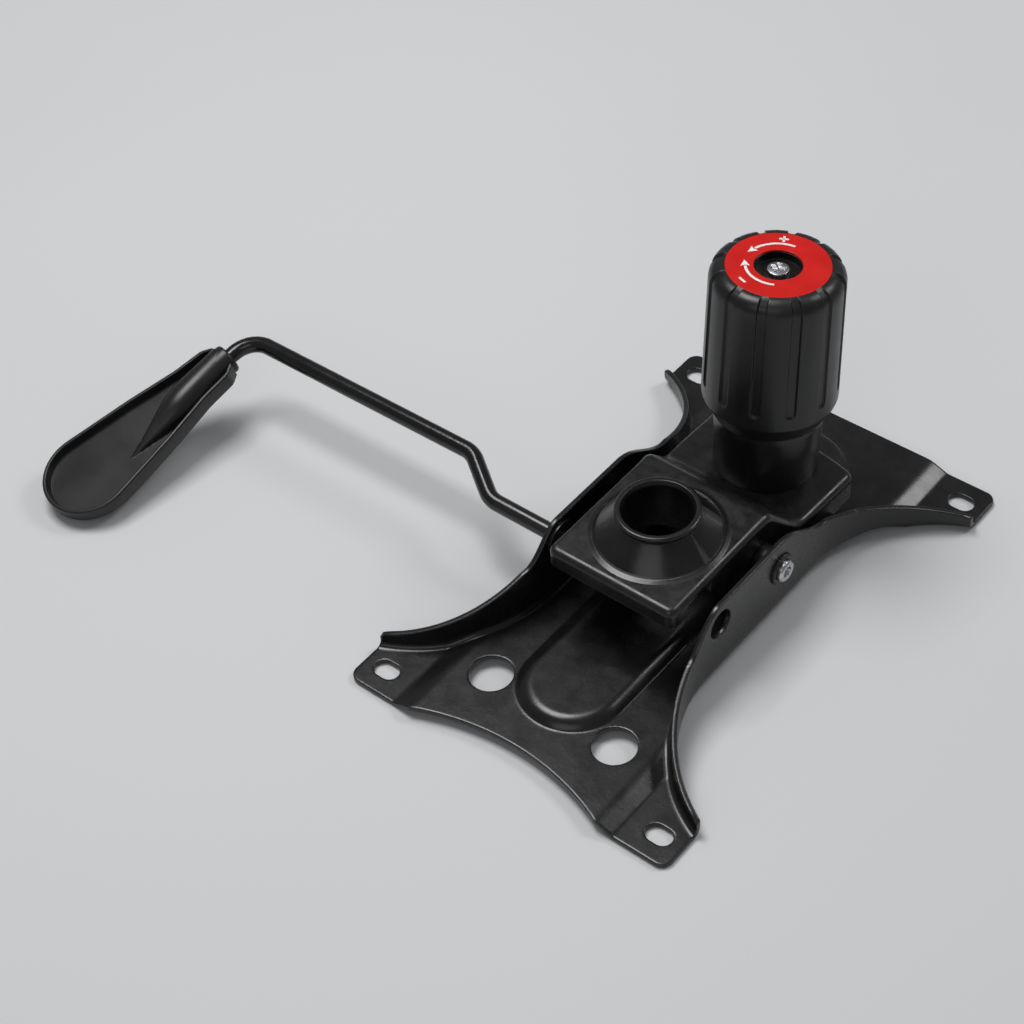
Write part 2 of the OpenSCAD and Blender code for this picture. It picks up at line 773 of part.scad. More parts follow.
// Cross-recess screw that holds the insert in the knob
module knob_screw() color(zinc) on_bolt(recess_s + screw_washer_t) difference() {
    union() {
        cylinder(h = screw_head_h, d1 = screw_head_d, d2 = screw_flat_d);
        translate([0, 0, insert_end_s - screw_hold - recess_s - screw_washer_t])
            cylinder(h = recess_s + screw_washer_t + screw_hold - insert_end_s, d = screw_d);
    }
    for (a = [0, 90]) rotate(a) translate([-cross_l / 2, -cross_w / 2, screw_head_h - cross_h])
        cube([cross_l, cross_w, screw_head_h]);
}

module screw_washer() color(steel) on_bolt(recess_s)
    ring(screw_washer_t, screw_washer_d, screw_d + 2 * held_fit);

// Lever

// The rod bends in one plane: x runs along its axis and y along the crank's offset.
// The plane droops until the handle's tip is just clear of the surface under the ears.
crank_x = -flange_x - crank_out;
handle_x = -flange_x - handle_out;
handle_dir = [-cos(handle_turn), -sin(handle_turn)];
tip_r = handle_w / 2;
tip_reach = (handle_start + handle_l - tip_r) * sin(handle_turn) + tip_r - bend_offset;
droop = asin((lever_z - tip_gap - handle_t / 2) / tip_reach);
rod_path = [
    [-rod_inner, 0], [crank_x, 0], [crank_x - crank_run, crank_offset],
    [handle_x, bend_offset],
    [handle_x, bend_offset] + (handle_start + rod_in_handle) * handle_dir
];

module on_lever() {
    translate([0, lever_y, lever_z]) rotate([droop, 0, 0]) children();
}

function heading(p, q) = atan2(q[1] - p[1], q[0] - p[0]);
function wrap(a) = a > 180 ? a - 360 : a < -180 ? a + 360 : a;

// A bend is a trace fatter than the bar, and the straights run a little way into it
bend_swell = 0.03;
bend_lap = 0.5;

// A round bar along a flat path, with each corner bent to one radius
module bent_bar(path, r, d) {
    last = len(path) - 1;
    head = [for (i = [0 : last - 1]) heading(path[i], path[i + 1])];
    turn = [for (i = [0 : last]) i == 0 || i == last ? 0 : wrap(head[i] - head[i - 1])];
    trim = [for (t = turn) r * tan(abs(t) / 2)];
    lap = [for (i = [0 : last]) i == 0 || i == last ? 0 : bend_lap];
    for (i = [0 : last - 1])
        translate(path[i]) rotate(head[i]) translate([trim[i] - lap[i], 0, 0]) rotate([0, 90, 0])
            cylinder(h = norm(path[i + 1] - path[i]) - trim[i] - trim[i + 1] + lap[i] + lap[i + 1], d = d);
    for (i = [1 : last - 1]) let (side = turn[i] > 0 ? 1 : -1)
        translate(path[i]) rotate(head[i - 1]) translate([-trim[i], side * r, 0])
            rotate(side > 0 ? -90 : 90 + turn[i])
                rotate_extrude(angle = abs(turn[i])) translate([r, 0]) circle(d = d + 2 * bend_swell);
}

clip_x = -(lever_collar_x - face_gap - lever_pull);

module lever_rod() color(black_paint) on_lever() difference() {
    bent_bar(rod_path, bend_r, rod_d);
    translate([clip_x - seat_gap, 0, 0]) rotate([0, 90, 0])
        ring(clip_t + 2 * seat_gap, rod_d + 2 * cut, clip_groove_d);
}

// Clip in the rod's groove, open at the top; it stops the rod at the end of its pull
module lever_clip() color(steel) translate([clip_x, lever_y, lever_z]) difference() {
    rotate([0, 90, 0]) ring(clip_t, clip_d, clip_groove_d + 2 * run_fit);
    translate([-cut, -clip_groove_d / 2, 0]) cube([clip_t + 2 * cut, clip_groove_d, clip_d]);
    translate([-cut, -clip_d, clip_groove_d / 2]) cube([clip_t + 2 * cut, 2 * clip_d, clip_d]);
}

// Tongue under the rod that reaches below the column's axis
saddle_x = -rod_inner - saddle_l / 2;
tongue_l = norm([saddle_x, column_y - lever_y]) + tongue_past - tongue_w / 2;
tongue_turn = atan2(column_y - lever_y, -saddle_x);
tongue_z = -rod_d / 2 - tongue_t;

module release_tongue() color(black_paint) translate([0, lever_y, lever_z]) difference() {
    union() {
        translate([saddle_x - saddle_l / 2, -tongue_w / 2, tongue_z])
            cube([saddle_l, tongue_w, tongue_t + saddle_up]);
        translate([saddle_x, 0, tongue_z]) rotate(tongue_turn) {
            translate([0, -tongue_w / 2, 0]) cube([tongue_l, tongue_w, tongue_t]);
            translate([tongue_l, 0, 0]) cylinder(h = tongue_t, d = tongue_w);
        }
    }
    bar_x(2 * waist_w, rod_d + 2 * held_fit);
}

// Teardrop outline along the handle, drawn in by d
module handle_plan(d) {
    hull() {
        translate([handle_l - tip_r, 0]) circle(tip_r - d, $fn = 48);
        translate([ferrule_l + d, d - handle_neck_w / 2])
            square([handle_neck_w / 2 - d, handle_neck_w - 2 * d]);
    }
}

module lever_handle() color(black_plastic) on_lever()
    translate([handle_x, bend_offset, 0]) rotate(180 + handle_turn) translate([handle_start, 0, 0])
        difference() {
            union() {
                difference() {
                    linear_extrude(handle_t, center = true) handle_plan(0);
                    for (side = [0, 1]) mirror([0, 0, side])
                        translate([0, 0, handle_web / 2]) linear_extrude(handle_t) handle_plan(handle_rim);
                }
                rotate([0, 90, 0]) cylinder(h = boss_full, d = boss_d);
                translate([boss_full, 0, 0]) rotate([0, 90, 0])
                    cylinder(h = boss_l - boss_full, d1 = boss_d, d2 = handle_web);
            }
            translate([-cut, 0, 0]) rotate([0, 90, 0])
                cylinder(h = rod_in_handle + cut, d = rod_d + 2 * held_fit);
        }

seat_plate();
pivot_bushes();
lever_bush();
rest_pads();
housing();
column_socket();
pivot_axle();
pivot_tube();
axle_spacers();
spring_seat();
spring_sleeve();
tension_spring();
tension_bolt();
thrust_washer();
knob();
knob_label();
knob_insert();
knob_screw();
screw_washer();
lever_clip();
lever_rod();
release_tongue();
lever_handle();
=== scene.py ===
"""Office chair tilt mechanism, lying upside down as in the photograph.

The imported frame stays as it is. Smooth skins and procedural finishes stand in the same places.
Lengths are millimetres in the part's frame until a mesh is made.
"""
import math

import bpy
from mathutils import Matrix, Vector


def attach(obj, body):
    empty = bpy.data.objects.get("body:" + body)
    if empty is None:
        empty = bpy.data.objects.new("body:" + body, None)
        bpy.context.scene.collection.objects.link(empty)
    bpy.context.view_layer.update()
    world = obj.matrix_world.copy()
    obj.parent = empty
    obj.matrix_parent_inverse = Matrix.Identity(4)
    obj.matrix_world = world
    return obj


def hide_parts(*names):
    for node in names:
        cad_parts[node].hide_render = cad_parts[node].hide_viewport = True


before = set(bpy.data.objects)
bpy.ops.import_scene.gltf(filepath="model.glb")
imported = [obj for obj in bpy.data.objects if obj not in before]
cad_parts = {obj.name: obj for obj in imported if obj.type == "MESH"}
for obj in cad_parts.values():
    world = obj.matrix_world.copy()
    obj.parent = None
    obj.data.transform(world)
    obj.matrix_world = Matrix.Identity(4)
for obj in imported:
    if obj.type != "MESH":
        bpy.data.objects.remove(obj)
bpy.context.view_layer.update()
scene = bpy.context.scene
MM = 0.001

# Seat plate; its skin stops an edge's rounding short of the outline
SHEET = 2.5
EDGE = 0.45
HALF_W = 87.0 - EDGE
HALF_L = 130.0 - EDGE
EAR_R = 5.0
WEB_RISE = 3.7
JOGGLE_FOOT = 60.0
JOGGLE_RUN = 9.0
JOGGLE_FOOT_ROUND = 0.1
JOGGLE_HEAD_ROUND = 0.3
REAR_HOLLOW = 11.0
PAD_ENDS = (-78.0, 90.0)
PAD_FOOT = 25.5
PAD_RISE = 3.8
PAD_ROLL = 7.5
PAD_ROLL_POWER = 2.2
PAD_FOOT_ROUND = 0.05
SLOT_X = 75.0
SLOT_Y = 117.5
SLOT_R = 4.5
SLOT_REACH = 1.75
REAR_HOLE = (34.0, -94.0)
REAR_HOLE_R = 10.0
BOLT_HOLE = (0.0, 64.45)
BOLT_HOLE_R = 7.0
FLANGE_X = 45.0
WAIST = 41.0
WAIST_SHARE = 0.336
FLARE_R = 70.0
BEND_R = 3.0
CREST_Z = 46.0
SHOULDER_Z = 30.0
SHOULDER_REAR = -56.0
SHOULDER_FRONT = 49.0
FLANGE_END_Y = 107.0
FLANGE_END_Z = 9.5
FLANGE_END_SHARE = 0.955
FLANGE_END_DROP = 1.5
PIVOT = (13.0, 30.0)
PIVOT_HOLE_R = 6.8
LEVER = (-32.0, 34.5)
LEVER_HOLE_R = 7.1

# Housing and column socket; the floor slopes by the lean of the bolt that goes through it
LEAN = math.radians(3.5)
BOLT_Y = 65.8
PLATFORM_REAR = -52.0
PLATFORM_FRONT = 21.0
PLATFORM_HALF = 34.0
PLATFORM_Z = 50.5
PLATFORM_R = 4.4
FLOOR_START = 38.8
FLOOR_START_Z = 30.0 + (BOLT_Y - FLOOR_START) * math.tan(LEAN)
FLOOR_END = 87.8
FLOOR_HALF = 38.5
FLOOR_R = 5.0
BOW_R = 110.0
BOW_START = 70.0
FOLD_R = 3.4
STEP_HEAD_R = 7.0
STEP_FOOT_R = 12.0
WIDEN_R = 60.0
PLAN_ENDS = (-90.0, 120.0)
SKIRT_Z = 41.0
WALL_Z = 16.0
NOTCH = (-40.5, -23.5)
WALL_RUN = 20.0
COLUMN_Y = -15.5
COLUMN_HOLE_R = 17.0
FLOOR_HOLE_R = 9.5

# Bolt axis: its foot, and heights along it
FLOOR_RISE = 25.6
AXIS_FOOT = (0.0, BOLT_Y - FLOOR_RISE * math.tan(LEAN), 4.4)
FLOOR_S = FLOOR_RISE / math.cos(LEAN)
SLEEVE_SHOW = 32.5
MOUTH_S = FLOOR_S + SLEEVE_SHOW
KNOB_H = 78.0
TOP_S = MOUTH_S + KNOB_H
RECESS_DEPTH = 5.0
RECESS_S = TOP_S - RECESS_DEPTH
SPRING_S = FLOOR_S + 2.3
SPRING_L = TOP_S - 41.3 - SPRING_S
COIL_R = 16.5
WIRE_R = 3.0
COIL_TURNS = 7
TURN_STEPS = 36

# Lever
CRANK = ((-83.0, 0.0), (-106.0, 16.0))
HANDLE_BEND = (-246.5, 14.5)
BAR_BEND_R = 14.0
HANDLE_TURN = math.radians(79.5)
HANDLE_START = 14.5
HANDLE_L = 112.0
TIP_R = 23.5
HALF_T = 4.5
TIP_REACH = (HANDLE_START + HANDLE_L - TIP_R) * math.sin(HANDLE_TURN) + TIP_R - HANDLE_BEND[1]
ROD_R = 4.0
CLIP_GROOVE_R = 3.3
DROOP = math.asin((LEVER[1] - 0.6 - HALF_T) / TIP_REACH)


# Shape helpers

def soft_ramp(t, b):
    """0 to 1 as t goes from 0 to 1, both corners rounded over b."""
    if t <= -b:
        return 0.0
    if t < b:
        return (t + b) ** 2 / (4 * b)
    if t < 1 - b:
        return t
    if t < 1 + b:
        return 1 - (1 + b - t) ** 2 / (4 * b)
    return 1.0


def ease(t):
    return (1 - math.cos(math.pi * min(max(t, 0.0), 1.0))) / 2


def steps(a, b, count):
    """Evenly spaced values from a to b, both ends included."""
    return [a + (b - a) * k / count for k in range(count + 1)]


def rounded(points, count=6):
    """An open polyline of (x, y, radius) with its inner corners rounded."""
    out = [points[0][:2]]
    for before, here, after in zip(points, points[1:], points[2:]):
        p = Vector(here[:2])
        if here[2] <= 0:
            out.append(tuple(p))
            continue
        u = (Vector(before[:2]) - p).normalized()
        v = (Vector(after[:2]) - p).normalized()
        half = u.angle(v) / 2
        centre = p + (u + v).normalized() * here[2] / math.sin(half)
        start = p + u * here[2] / math.tan(half) - centre
        end = p + v * here[2] / math.tan(half) - centre
        first = math.atan2(start.y, start.x)
        turn = math.remainder(math.atan2(end.y, end.x) - first, 2 * math.pi)
        for a in steps(first, first + turn, count):
            out.append((centre.x + here[2] * math.cos(a), centre.y + here[2] * math.sin(a)))
    out.append(points[-1][:2])
    return out


def reading(line):
    """The polyline as a function of its first coordinate."""
    def value(x):
        for a, b in zip(line, line[1:]):
            if x <= b[0]:
                return a[1] + (b[1] - a[1]) * (x - a[0]) / (b[0] - a[0])
        return line[-1][1]
    return value


def revolve(profile, count=72, shape=None):
    """Turns (r, z) points about Z. The outside goes up; shape(angle, r, z) may change r."""
    verts, faces, rows = [], [], []
    for r, z in profile:
        if r < 1e-6:
            rows.append([len(verts)] * count)
            verts.append((0.0, 0.0, z))
            continue
        rows.append(list(range(len(verts), len(verts) + count)))
        for k in range(count):
            a = 2 * math.pi * k / count
            reach = shape(a, r, z) if shape else r
            verts.append((reach * math.cos(a), reach * math.sin(a), z))
    for low, high in zip(rows, rows[1:]):
        for k in range(count):
            n = (k + 1) % count
            face = list(dict.fromkeys([low[k], low[n], high[n], high[k]]))
            if len(face) > 2:
                faces.append(face)
    return verts, faces


def tube(rings, count=20):
    """A bar through rings of (centre, across, up, radius), closed at both ends."""
    verts, faces = [], []
    for centre, across, up, r in rings:
        for k in range(count):
            a = 2 * math.pi * k / count
            verts.append(tuple(centre + across * (r * math.cos(a)) + up * (r * math.sin(a))))
    last = (len(rings) - 1) * count
    for j in range(0, last, count):
        for k in range(count):
            n = (k + 1) % count
            faces.append([j + k, j + n, j + count + n, j + count + k])
    faces.append(list(range(count))[::-1])
    faces.append([last + k for k in range(count)])
    return verts, faces


def placed(shell, matrix):
    return [tuple(matrix @ Vector(v)) for v in shell[0]], shell[1]


def joined(*shells):
    verts, faces = [], []
    for shell in shells:
        start = len(verts)
        verts += shell[0]
        faces += [[start + i for i in face] for face in shell[1]]
    return verts, faces


def mirrored(shell):
    """The shell and its mirror image in x, sharing the points on the middle plane."""
    verts, faces = list(shell[0]), list(shell[1])
    twin = []
    for i, (x, y, z) in enumerate(shell[0]):
        if abs(x) < 1e-6:
            twin.append(i)
        else:
            twin.append(len(verts))
            verts.append((-x, y, z))
    faces += [[twin[i] for i in reversed(face)] for face in shell[1]]
    return verts, faces


def cut_hole(shell, axes, centre, r, reach=0.0):
    """Opens a round hole, or a slot that reaches both ways along the first axis."""
    verts, faces = list(shell[0]), shell[1]

    def from_core(v):
        p = v[axes[0]] - centre[0]
        return p - min(max(p, -reach), reach), v[axes[1]] - centre[1]

    gap = [math.hypot(*from_core(v)) - r for v in verts]
    near = set()
    for face in faces:
        for a, b in zip(face, face[1:] + face[:1]):
            if gap[a] * gap[b] < 0:
                near.add(a if abs(gap[a]) < abs(gap[b]) else b)
    for i in near:
        p, q = from_core(verts[i])
        grow = r / math.hypot(p, q) - 1
        moved = list(verts[i])
        moved[axes[0]] += p * grow
        moved[axes[1]] += q * grow
        verts[i] = tuple(moved)
        gap[i] = 0.0
    kept = []
    for face in faces:
        part = [i for i in face if gap[i] >= 0]
        if len(part) > 2 and any(gap[i] > 0 for i in part):
            kept.append(part)
    return verts, kept


def on_bolt(s=0.0, turn=0.0):
    """The frame at height s on the leaning bolt axis."""
    return (Matrix.Translation(AXIS_FOOT) @ Matrix.Rotation(-LEAN, 4, "X")
            @ Matrix.Translation((0, 0, s)) @ Matrix.Rotation(turn, 4, "Z"))


def on_pivot(side):
    """The pivot axis, with Z pointing out of the right or left flange."""
    return (Matrix.Translation((0, PIVOT[0], PIVOT[1]))
            @ Matrix.Rotation(side * math.pi / 2, 4, "Y"))


def on_lever():
    return Matrix.Translation((0, LEVER[0], LEVER[1])) @ Matrix.Rotation(DROOP, 4, "X")


def sheet(shell, wall, rim):
    """Gives an open skin a wall on its back, and a rounded edge that stands out by rim."""
    verts = [Vector(v) for v in shell[0]]
    facing = [Vector((0, 0, 0)) for _ in verts]
    sides = set()
    for face in shell[1]:
        normal = Vector((0, 0, 0))
        for a, b in zip(face, face[1:] + face[:1]):
            normal += verts[a].cross(verts[b])
            sides.add((a, b))
        for i in face:
            facing[i] += normal
    facing = [n.normalized() for n in facing]
    free = [(a, b) for a, b in sides if (b, a) not in sides]
    out = {i: Vector((0, 0, 0)) for side in free for i in side}
    for a, b in free:
        along = (verts[b] - verts[a]).normalized()
        out[a] += along.cross(facing[a]).normalized()
        out[b] += along.cross(facing[b]).normalized()
    made = [tuple(v) for v in verts]
    back = len(made)
    made += [tuple(v - n * wall) for v, n in zip(verts, facing)]
    faces = shell[1] + [[back + i for i in reversed(face)] for face in shell[1]]
    part = rim * math.sqrt(0.5)
    bends = [(part, rim - part), (rim, rim), (rim, wall - rim), (part, wall - rim + part)]
    loops = {}
    for i, push in out.items():
        loops[i] = [i]
        for over, deep in bends:
            loops[i].append(len(made))
            made.append(tuple(verts[i] + push.normalized() * over - facing[i] * deep))
        loops[i].append(back + i)
    for a, b in free:
        for k in range(len(bends) + 1):
            faces.append([loops[b][k], loops[a][k], loops[a][k + 1], loops[b][k + 1]])
    return made, faces


def kept_in(shell, half_x, half_y):
    """Draws points that stand outside a rectangle back to its sides."""
    inside = [(min(max(x, -half_x), half_x), min(max(y, -half_y), half_y), z) for x, y, z in shell[0]]
    return inside, shell[1]


def piece(name, shell, body, finish, stands_for=(), sharp=38.0):
    """Makes one visible piece that rides on a body."""
    used = sorted({i for face in shell[1] for i in face})
    index = {i: k for k, i in enumerate(used)}
    mesh = bpy.data.meshes.new(name)
    mesh.from_pydata([tuple(c * MM for c in shell[0][i]) for i in used], [],
                     [[index[i] for i in face] for face in shell[1]])
    mesh.validate()
    obj = bpy.data.objects.new(name, mesh)
    scene.collection.objects.link(obj)
    mesh.polygons.foreach_set("use_smooth", [True] * len(mesh.polygons))
    mesh.set_sharp_from_angle(angle=math.radians(sharp))
    mesh.materials.append(finish)
    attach(obj, body)
    if stands_for:
        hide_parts(*stands_for)
    return obj


# Finishes

def add(tree, kind, inputs=None, **settings):
    node = tree.nodes.new(kind)
    for key, value in settings.items():
        setattr(node, key, value)
    for key, value in (inputs or {}).items():
        if isinstance(value, bpy.types.NodeSocket):
            tree.links.new(value, node.inputs[key])
        else:
            node.inputs[key].default_value = value
    return node


def new_finish(name, **sockets):
    """A Principled material; the named sockets are set on the shader itself."""
    mat = bpy.data.materials.new(name)
    mat.use_nodes = True
    tree = mat.node_tree
    tree.nodes.clear()
    shader = add(tree, "ShaderNodeBsdfPrincipled", {k.replace("_", " "): v for k, v in sockets.items()})
    add(tree, "ShaderNodeOutputMaterial", {"Surface": shader.outputs[0]})
    place = add(tree, "ShaderNodeTexCoord").outputs["Object"]
    return mat, tree, shader, place


def noise(tree, place, scale, detail=3.0, rough=0.5, stretch=None):
    """Noise whose features are about 1000 / scale millimetres across."""
    if stretch:
        place = add(tree, "ShaderNodeMapping", {"Vector": place, "Scale": stretch}).outputs[0]
    return add(tree, "ShaderNodeTexNoise",
               {"Vector": place, "Scale": scale, "Detail": detail, "Roughness": rough}).outputs["Fac"]


def graded(tree, fac, stops):
    """A colour ramp through (position, colour) stops; a number stands for a grey."""
    ramp = add(tree, "ShaderNodeValToRGB", {"Fac": fac})
    for k, (at, colour) in enumerate(stops):
        stop = ramp.color_ramp.elements[k] if k < 2 else ramp.color_ramp.elements.new(at)
        stop.position = at
        stop.color = (*colour, 1) if isinstance(colour, tuple) else (colour, colour, colour, 1)
    return ramp.outputs["Color"]


def spread(tree, fac, low, high, start=0.3, end=0.7):
    return add(tree, "ShaderNodeMapRange", {"Value": fac, "From Min": start, "From Max": end,
                                            "To Min": low, "To Max": high}).outputs[0]


def bumped(tree, height, distance, strength=1.0, under=None):
    inputs = {"Height": height, "Distance": distance, "Strength": strength}
    if under:
        inputs["Normal"] = under
    return add(tree, "ShaderNodeBump", inputs).outputs[0]


def blend(tree, fac, first, second):
    mix = add(tree, "ShaderNodeMix", data_type="RGBA")
    for socket, value in ((0, fac), (6, first), (7, second)):
        if isinstance(value, bpy.types.NodeSocket):
            tree.links.new(value, mix.inputs[socket])
        else:
            mix.inputs[socket].default_value = value
    return mix.outputs[2]


def wire(tree, shader, **sockets):
    for key, value in sockets.items():
        tree.links.new(value, shader.inputs[key.replace("_", " ")])


def black_paint(name, dark, light, rough_low, rough_high, haze_scale):
    """Satin powder coat: hazy patches, orange peel, and lighter sharp edges, partly paint worn thin and
    partly painted highlight.
    """
    mat, tree, shader, place = new_finish(name, IOR=1.5)
    haze = noise(tree, place, haze_scale, 4, 0.6)
    fleck = noise(tree, place, 2600, 2, 0.6)
    peel = noise(tree, place, 620, 2, 0.5)
    body = graded(tree, haze, [(0.3, dark), (0.7, light)])
    dust = graded(tree, fleck, [(0.62, 0.0), (0.8, 0.018)])
    speckled = add(tree, "ShaderNodeMix", data_type="RGBA", blend_type="ADD")
    speckled.inputs[0].default_value = 1.0
    tree.links.new(body, speckled.inputs[6])
    tree.links.new(dust, speckled.inputs[7])
    # Painted highlight: the base colour is lightened on sharp edges to stand in for edge highlights, along
    # with paint worn thin there.
    edge = add(tree, "ShaderNodeNewGeometry").outputs["Pointiness"]
    edge_wear_and_highlight = spread(tree, edge, 0.0, 0.5, 0.53, 0.62)
    colour = blend(tree, edge_wear_and_highlight, speckled.outputs[2], (0.08, 0.08, 0.083, 1))
    wire(tree, shader, Base_Color=colour,
         Roughness=spread(tree, haze, rough_low, rough_high),
         Normal=bumped(tree, fleck, 0.00002, 0.4, bumped(tree, peel, 0.00006, 0.5)))
    return mat


def moulded_plastic(name, dark, light, rough_low, rough_high, grain):
    """Moulded black plastic: fine spark grain, dull patches and a few scuffs."""
    mat, tree, shader, place = new_finish(name, IOR=1.46)
    patch = noise(tree, place, 55, 3, 0.55)
    spark = noise(tree, place, grain, 2, 0.6)
    scuff = noise(tree, place, 240, 4, 0.65, (1.0, 1.0, 0.12))
    body = graded(tree, patch, [(0.3, dark), (0.7, light)])
    mark = graded(tree, scuff, [(0.66, 0.0), (0.78, 1.0)])
    colour = blend(tree, spread(tree, mark, 0.0, 0.18, 0.0, 1.0), body, (0.09, 0.09, 0.092, 1))
    wire(tree, shader, Base_Color=colour,
         Roughness=spread(tree, patch, rough_low, rough_high),
         Normal=bumped(tree, spark, 0.00003, 0.6))
    return mat


def bare_metal(name, dark, light, rough_low, rough_high, stretch):
    """Plated or plain metal with fine drawn marks and cloudy patches."""
    mat, tree, shader, place = new_finish(name, Metallic=1.0)
    cloud = noise(tree, place, 130, 4, 0.6)
    lines = noise(tree, place, 900, 3, 0.6, stretch)
    wire(tree, shader, Base_Color=graded(tree, cloud, [(0.3, dark), (0.7, light)]),
         Roughness=spread(tree, lines, rough_low, rough_high),
         Normal=bumped(tree, lines, 0.000003, 0.4))
    return mat


def red_label():
    mat, tree, shader, place = new_finish("label_red", IOR=1.4, Specular_IOR_Level=0.3)
    cloud = noise(tree, place, 90, 3, 0.5)
    dots = noise(tree, place, 3200, 1, 0.5)
    wire(tree, shader,
         Base_Color=graded(tree, cloud, [(0.3, (0.52, 0.010, 0.008)), (0.7, (0.60, 0.014, 0.010))]),
         Roughness=spread(tree, cloud, 0.3, 0.4),
         Normal=bumped(tree, dots, 0.00001, 0.3))
    return mat


def white_print():
    mat, tree, shader, place = new_finish("label_print", IOR=1.46)
    ink = noise(tree, place, 1500, 3, 0.6)
    wire(tree, shader,
         Base_Color=graded(tree, ink, [(0.3, (0.72, 0.70, 0.68)), (0.6, (0.84, 0.83, 0.81))]),
         Roughness=spread(tree, ink, 0.38, 0.5))
    return mat


def rubber():
    mat, tree, shader, place = new_finish("rubber_black", IOR=1.45)
    cloud = noise(tree, place, 160, 3, 0.6)
    pores = noise(tree, place, 1700, 2, 0.6)
    wire(tree, shader, Base_Color=graded(tree, cloud, [(0.3, 0.018), (0.7, 0.03)]),
         Roughness=spread(tree, cloud, 0.7, 0.85),
         Normal=bumped(tree, pores, 0.00005, 0.5))
    return mat


def pale_floor():
    mat, tree, shader, place = new_finish("floor_pale", IOR=1.4)
    cloud = noise(tree, place, 1.4, 3, 0.5)
    wire(tree, shader,
         Base_Color=graded(tree, cloud, [(0.2, (0.60, 0.605, 0.61)), (0.8, (0.64, 0.645, 0.65))]),
         Roughness=spread(tree, cloud, 0.6, 0.7))
    return mat


PAINT = black_paint("paint_satin", 0.005, 0.009, 0.22, 0.30, 85)
PAINT_DULL = black_paint("paint_hazed", 0.006, 0.011, 0.22, 0.40, 120)
ROD_PAINT = black_paint("paint_rod", 0.004, 0.008, 0.13, 0.22, 60)
PLASTIC = moulded_plastic("plastic_grain", 0.007, 0.012, 0.30, 0.40, 1900)
SLEEVE_PLASTIC = moulded_plastic("plastic_smooth", 0.007, 0.011, 0.27, 0.36, 1100)
ZINC = bare_metal("zinc_bright", (0.50, 0.51, 0.52), (0.60, 0.60, 0.61), 0.24, 0.30, (1.0, 1.0, 1.0))
STEEL = bare_metal("steel_oiled", (0.30, 0.30, 0.31), (0.48, 0.48, 0.48), 0.28, 0.45, (1.0, 1.0, 0.2))
STEEL_BLACKED = bare_metal("steel_blacked", (0.02, 0.02, 0.021), (0.05, 0.05, 0.052), 0.35, 0.5,
                           (1.0, 1.0, 1.0))
RED = red_label()
WHITE = white_print()
RUBBER = rubber()


# Seat plate

def plate_height(x, y):
    """Top of the sheet: ears, joggle, web and the raised pad, whose edge rolls over to a crisp foot."""
    step = (JOGGLE_FOOT - abs(x)) / JOGGLE_RUN
    up = SHEET + WEB_RISE * soft_ramp(step, JOGGLE_FOOT_ROUND if step < 0.5 else JOGGLE_HEAD_ROUND)
    reach = math.hypot(x, max(y - PAD_ENDS[1], PAD_ENDS[0] - y, 0.0))
    t = (PAD_FOOT - reach) / PAD_ROLL
    t = min((t + math.hypot(t, PAD_FOOT_ROUND)) / 2, 1.0)
    return up + PAD_RISE * (1 - (1 - t) ** PAD_ROLL_POWER)


def flange_plan(inside, t):
    """A point of the flange's plan, drawn in from its outer face; t runs from rear -1 to front 1."""
    share = abs(t)
    if share <= WAIST_SHARE:
        return FLANGE_X - inside, math.copysign(WAIST * share / WAIST_SHARE, t)
    r = FLARE_R + inside
    centre = FLANGE_X + FLARE_R
    turn = math.acos((centre - HALF_W) / r) * (share - WAIST_SHARE) / (1 - WAIST_SHARE)
    return centre - r * math.cos(turn), math.copysign(WAIST + r * math.sin(turn), t)


def flange_edge(y, t):
    """Height of the flange's top edge, with its two ends rounded off."""
    fall = SHOULDER_Z - FLANGE_END_Z
    if y < SHOULDER_REAR:
        z = SHOULDER_Z - fall * (SHOULDER_REAR - y) / (FLANGE_END_Y + SHOULDER_REAR)
    elif y < LEVER[0]:
        z = SHOULDER_Z + (CREST_Z - SHOULDER_Z) * ease((y - SHOULDER_REAR) / (LEVER[0] - SHOULDER_REAR))
    elif y < PIVOT[0]:
        z = CREST_Z
    elif y < SHOULDER_FRONT:
        z = CREST_Z - (CREST_Z - SHOULDER_Z) * ease((y - PIVOT[0]) / (SHOULDER_FRONT - PIVOT[0]))
    else:
        z = SHOULDER_Z - fall * (y - SHOULDER_FRONT) / (FLANGE_END_Y - SHOULDER_FRONT)
    z = max(z, FLANGE_END_Z)
    last = max((abs(t) - FLANGE_END_SHARE) / (1 - FLANGE_END_SHARE), 0.0)
    return z - EDGE - FLANGE_END_DROP * (1 - math.sqrt(max(1 - last * last, 0.0)))


def rear_edge(x):
    """The plate's rear edge: a hollow between the ears, then the ear and half its corner."""
    head = JOGGLE_FOOT - JOGGLE_RUN
    r = (head * head + REAR_HOLLOW * REAR_HOLLOW) / (2 * REAR_HOLLOW)
    if x < head:
        return -HALF_L + REAR_HOLLOW - r + math.sqrt(r * r - x * x)
    return -front_edge(x)


def front_edge(x):
    over = max(x - (HALF_W - EAR_R), 0.0)
    return HALF_L - EAR_R + math.sqrt(EAR_R * EAR_R - over * over)


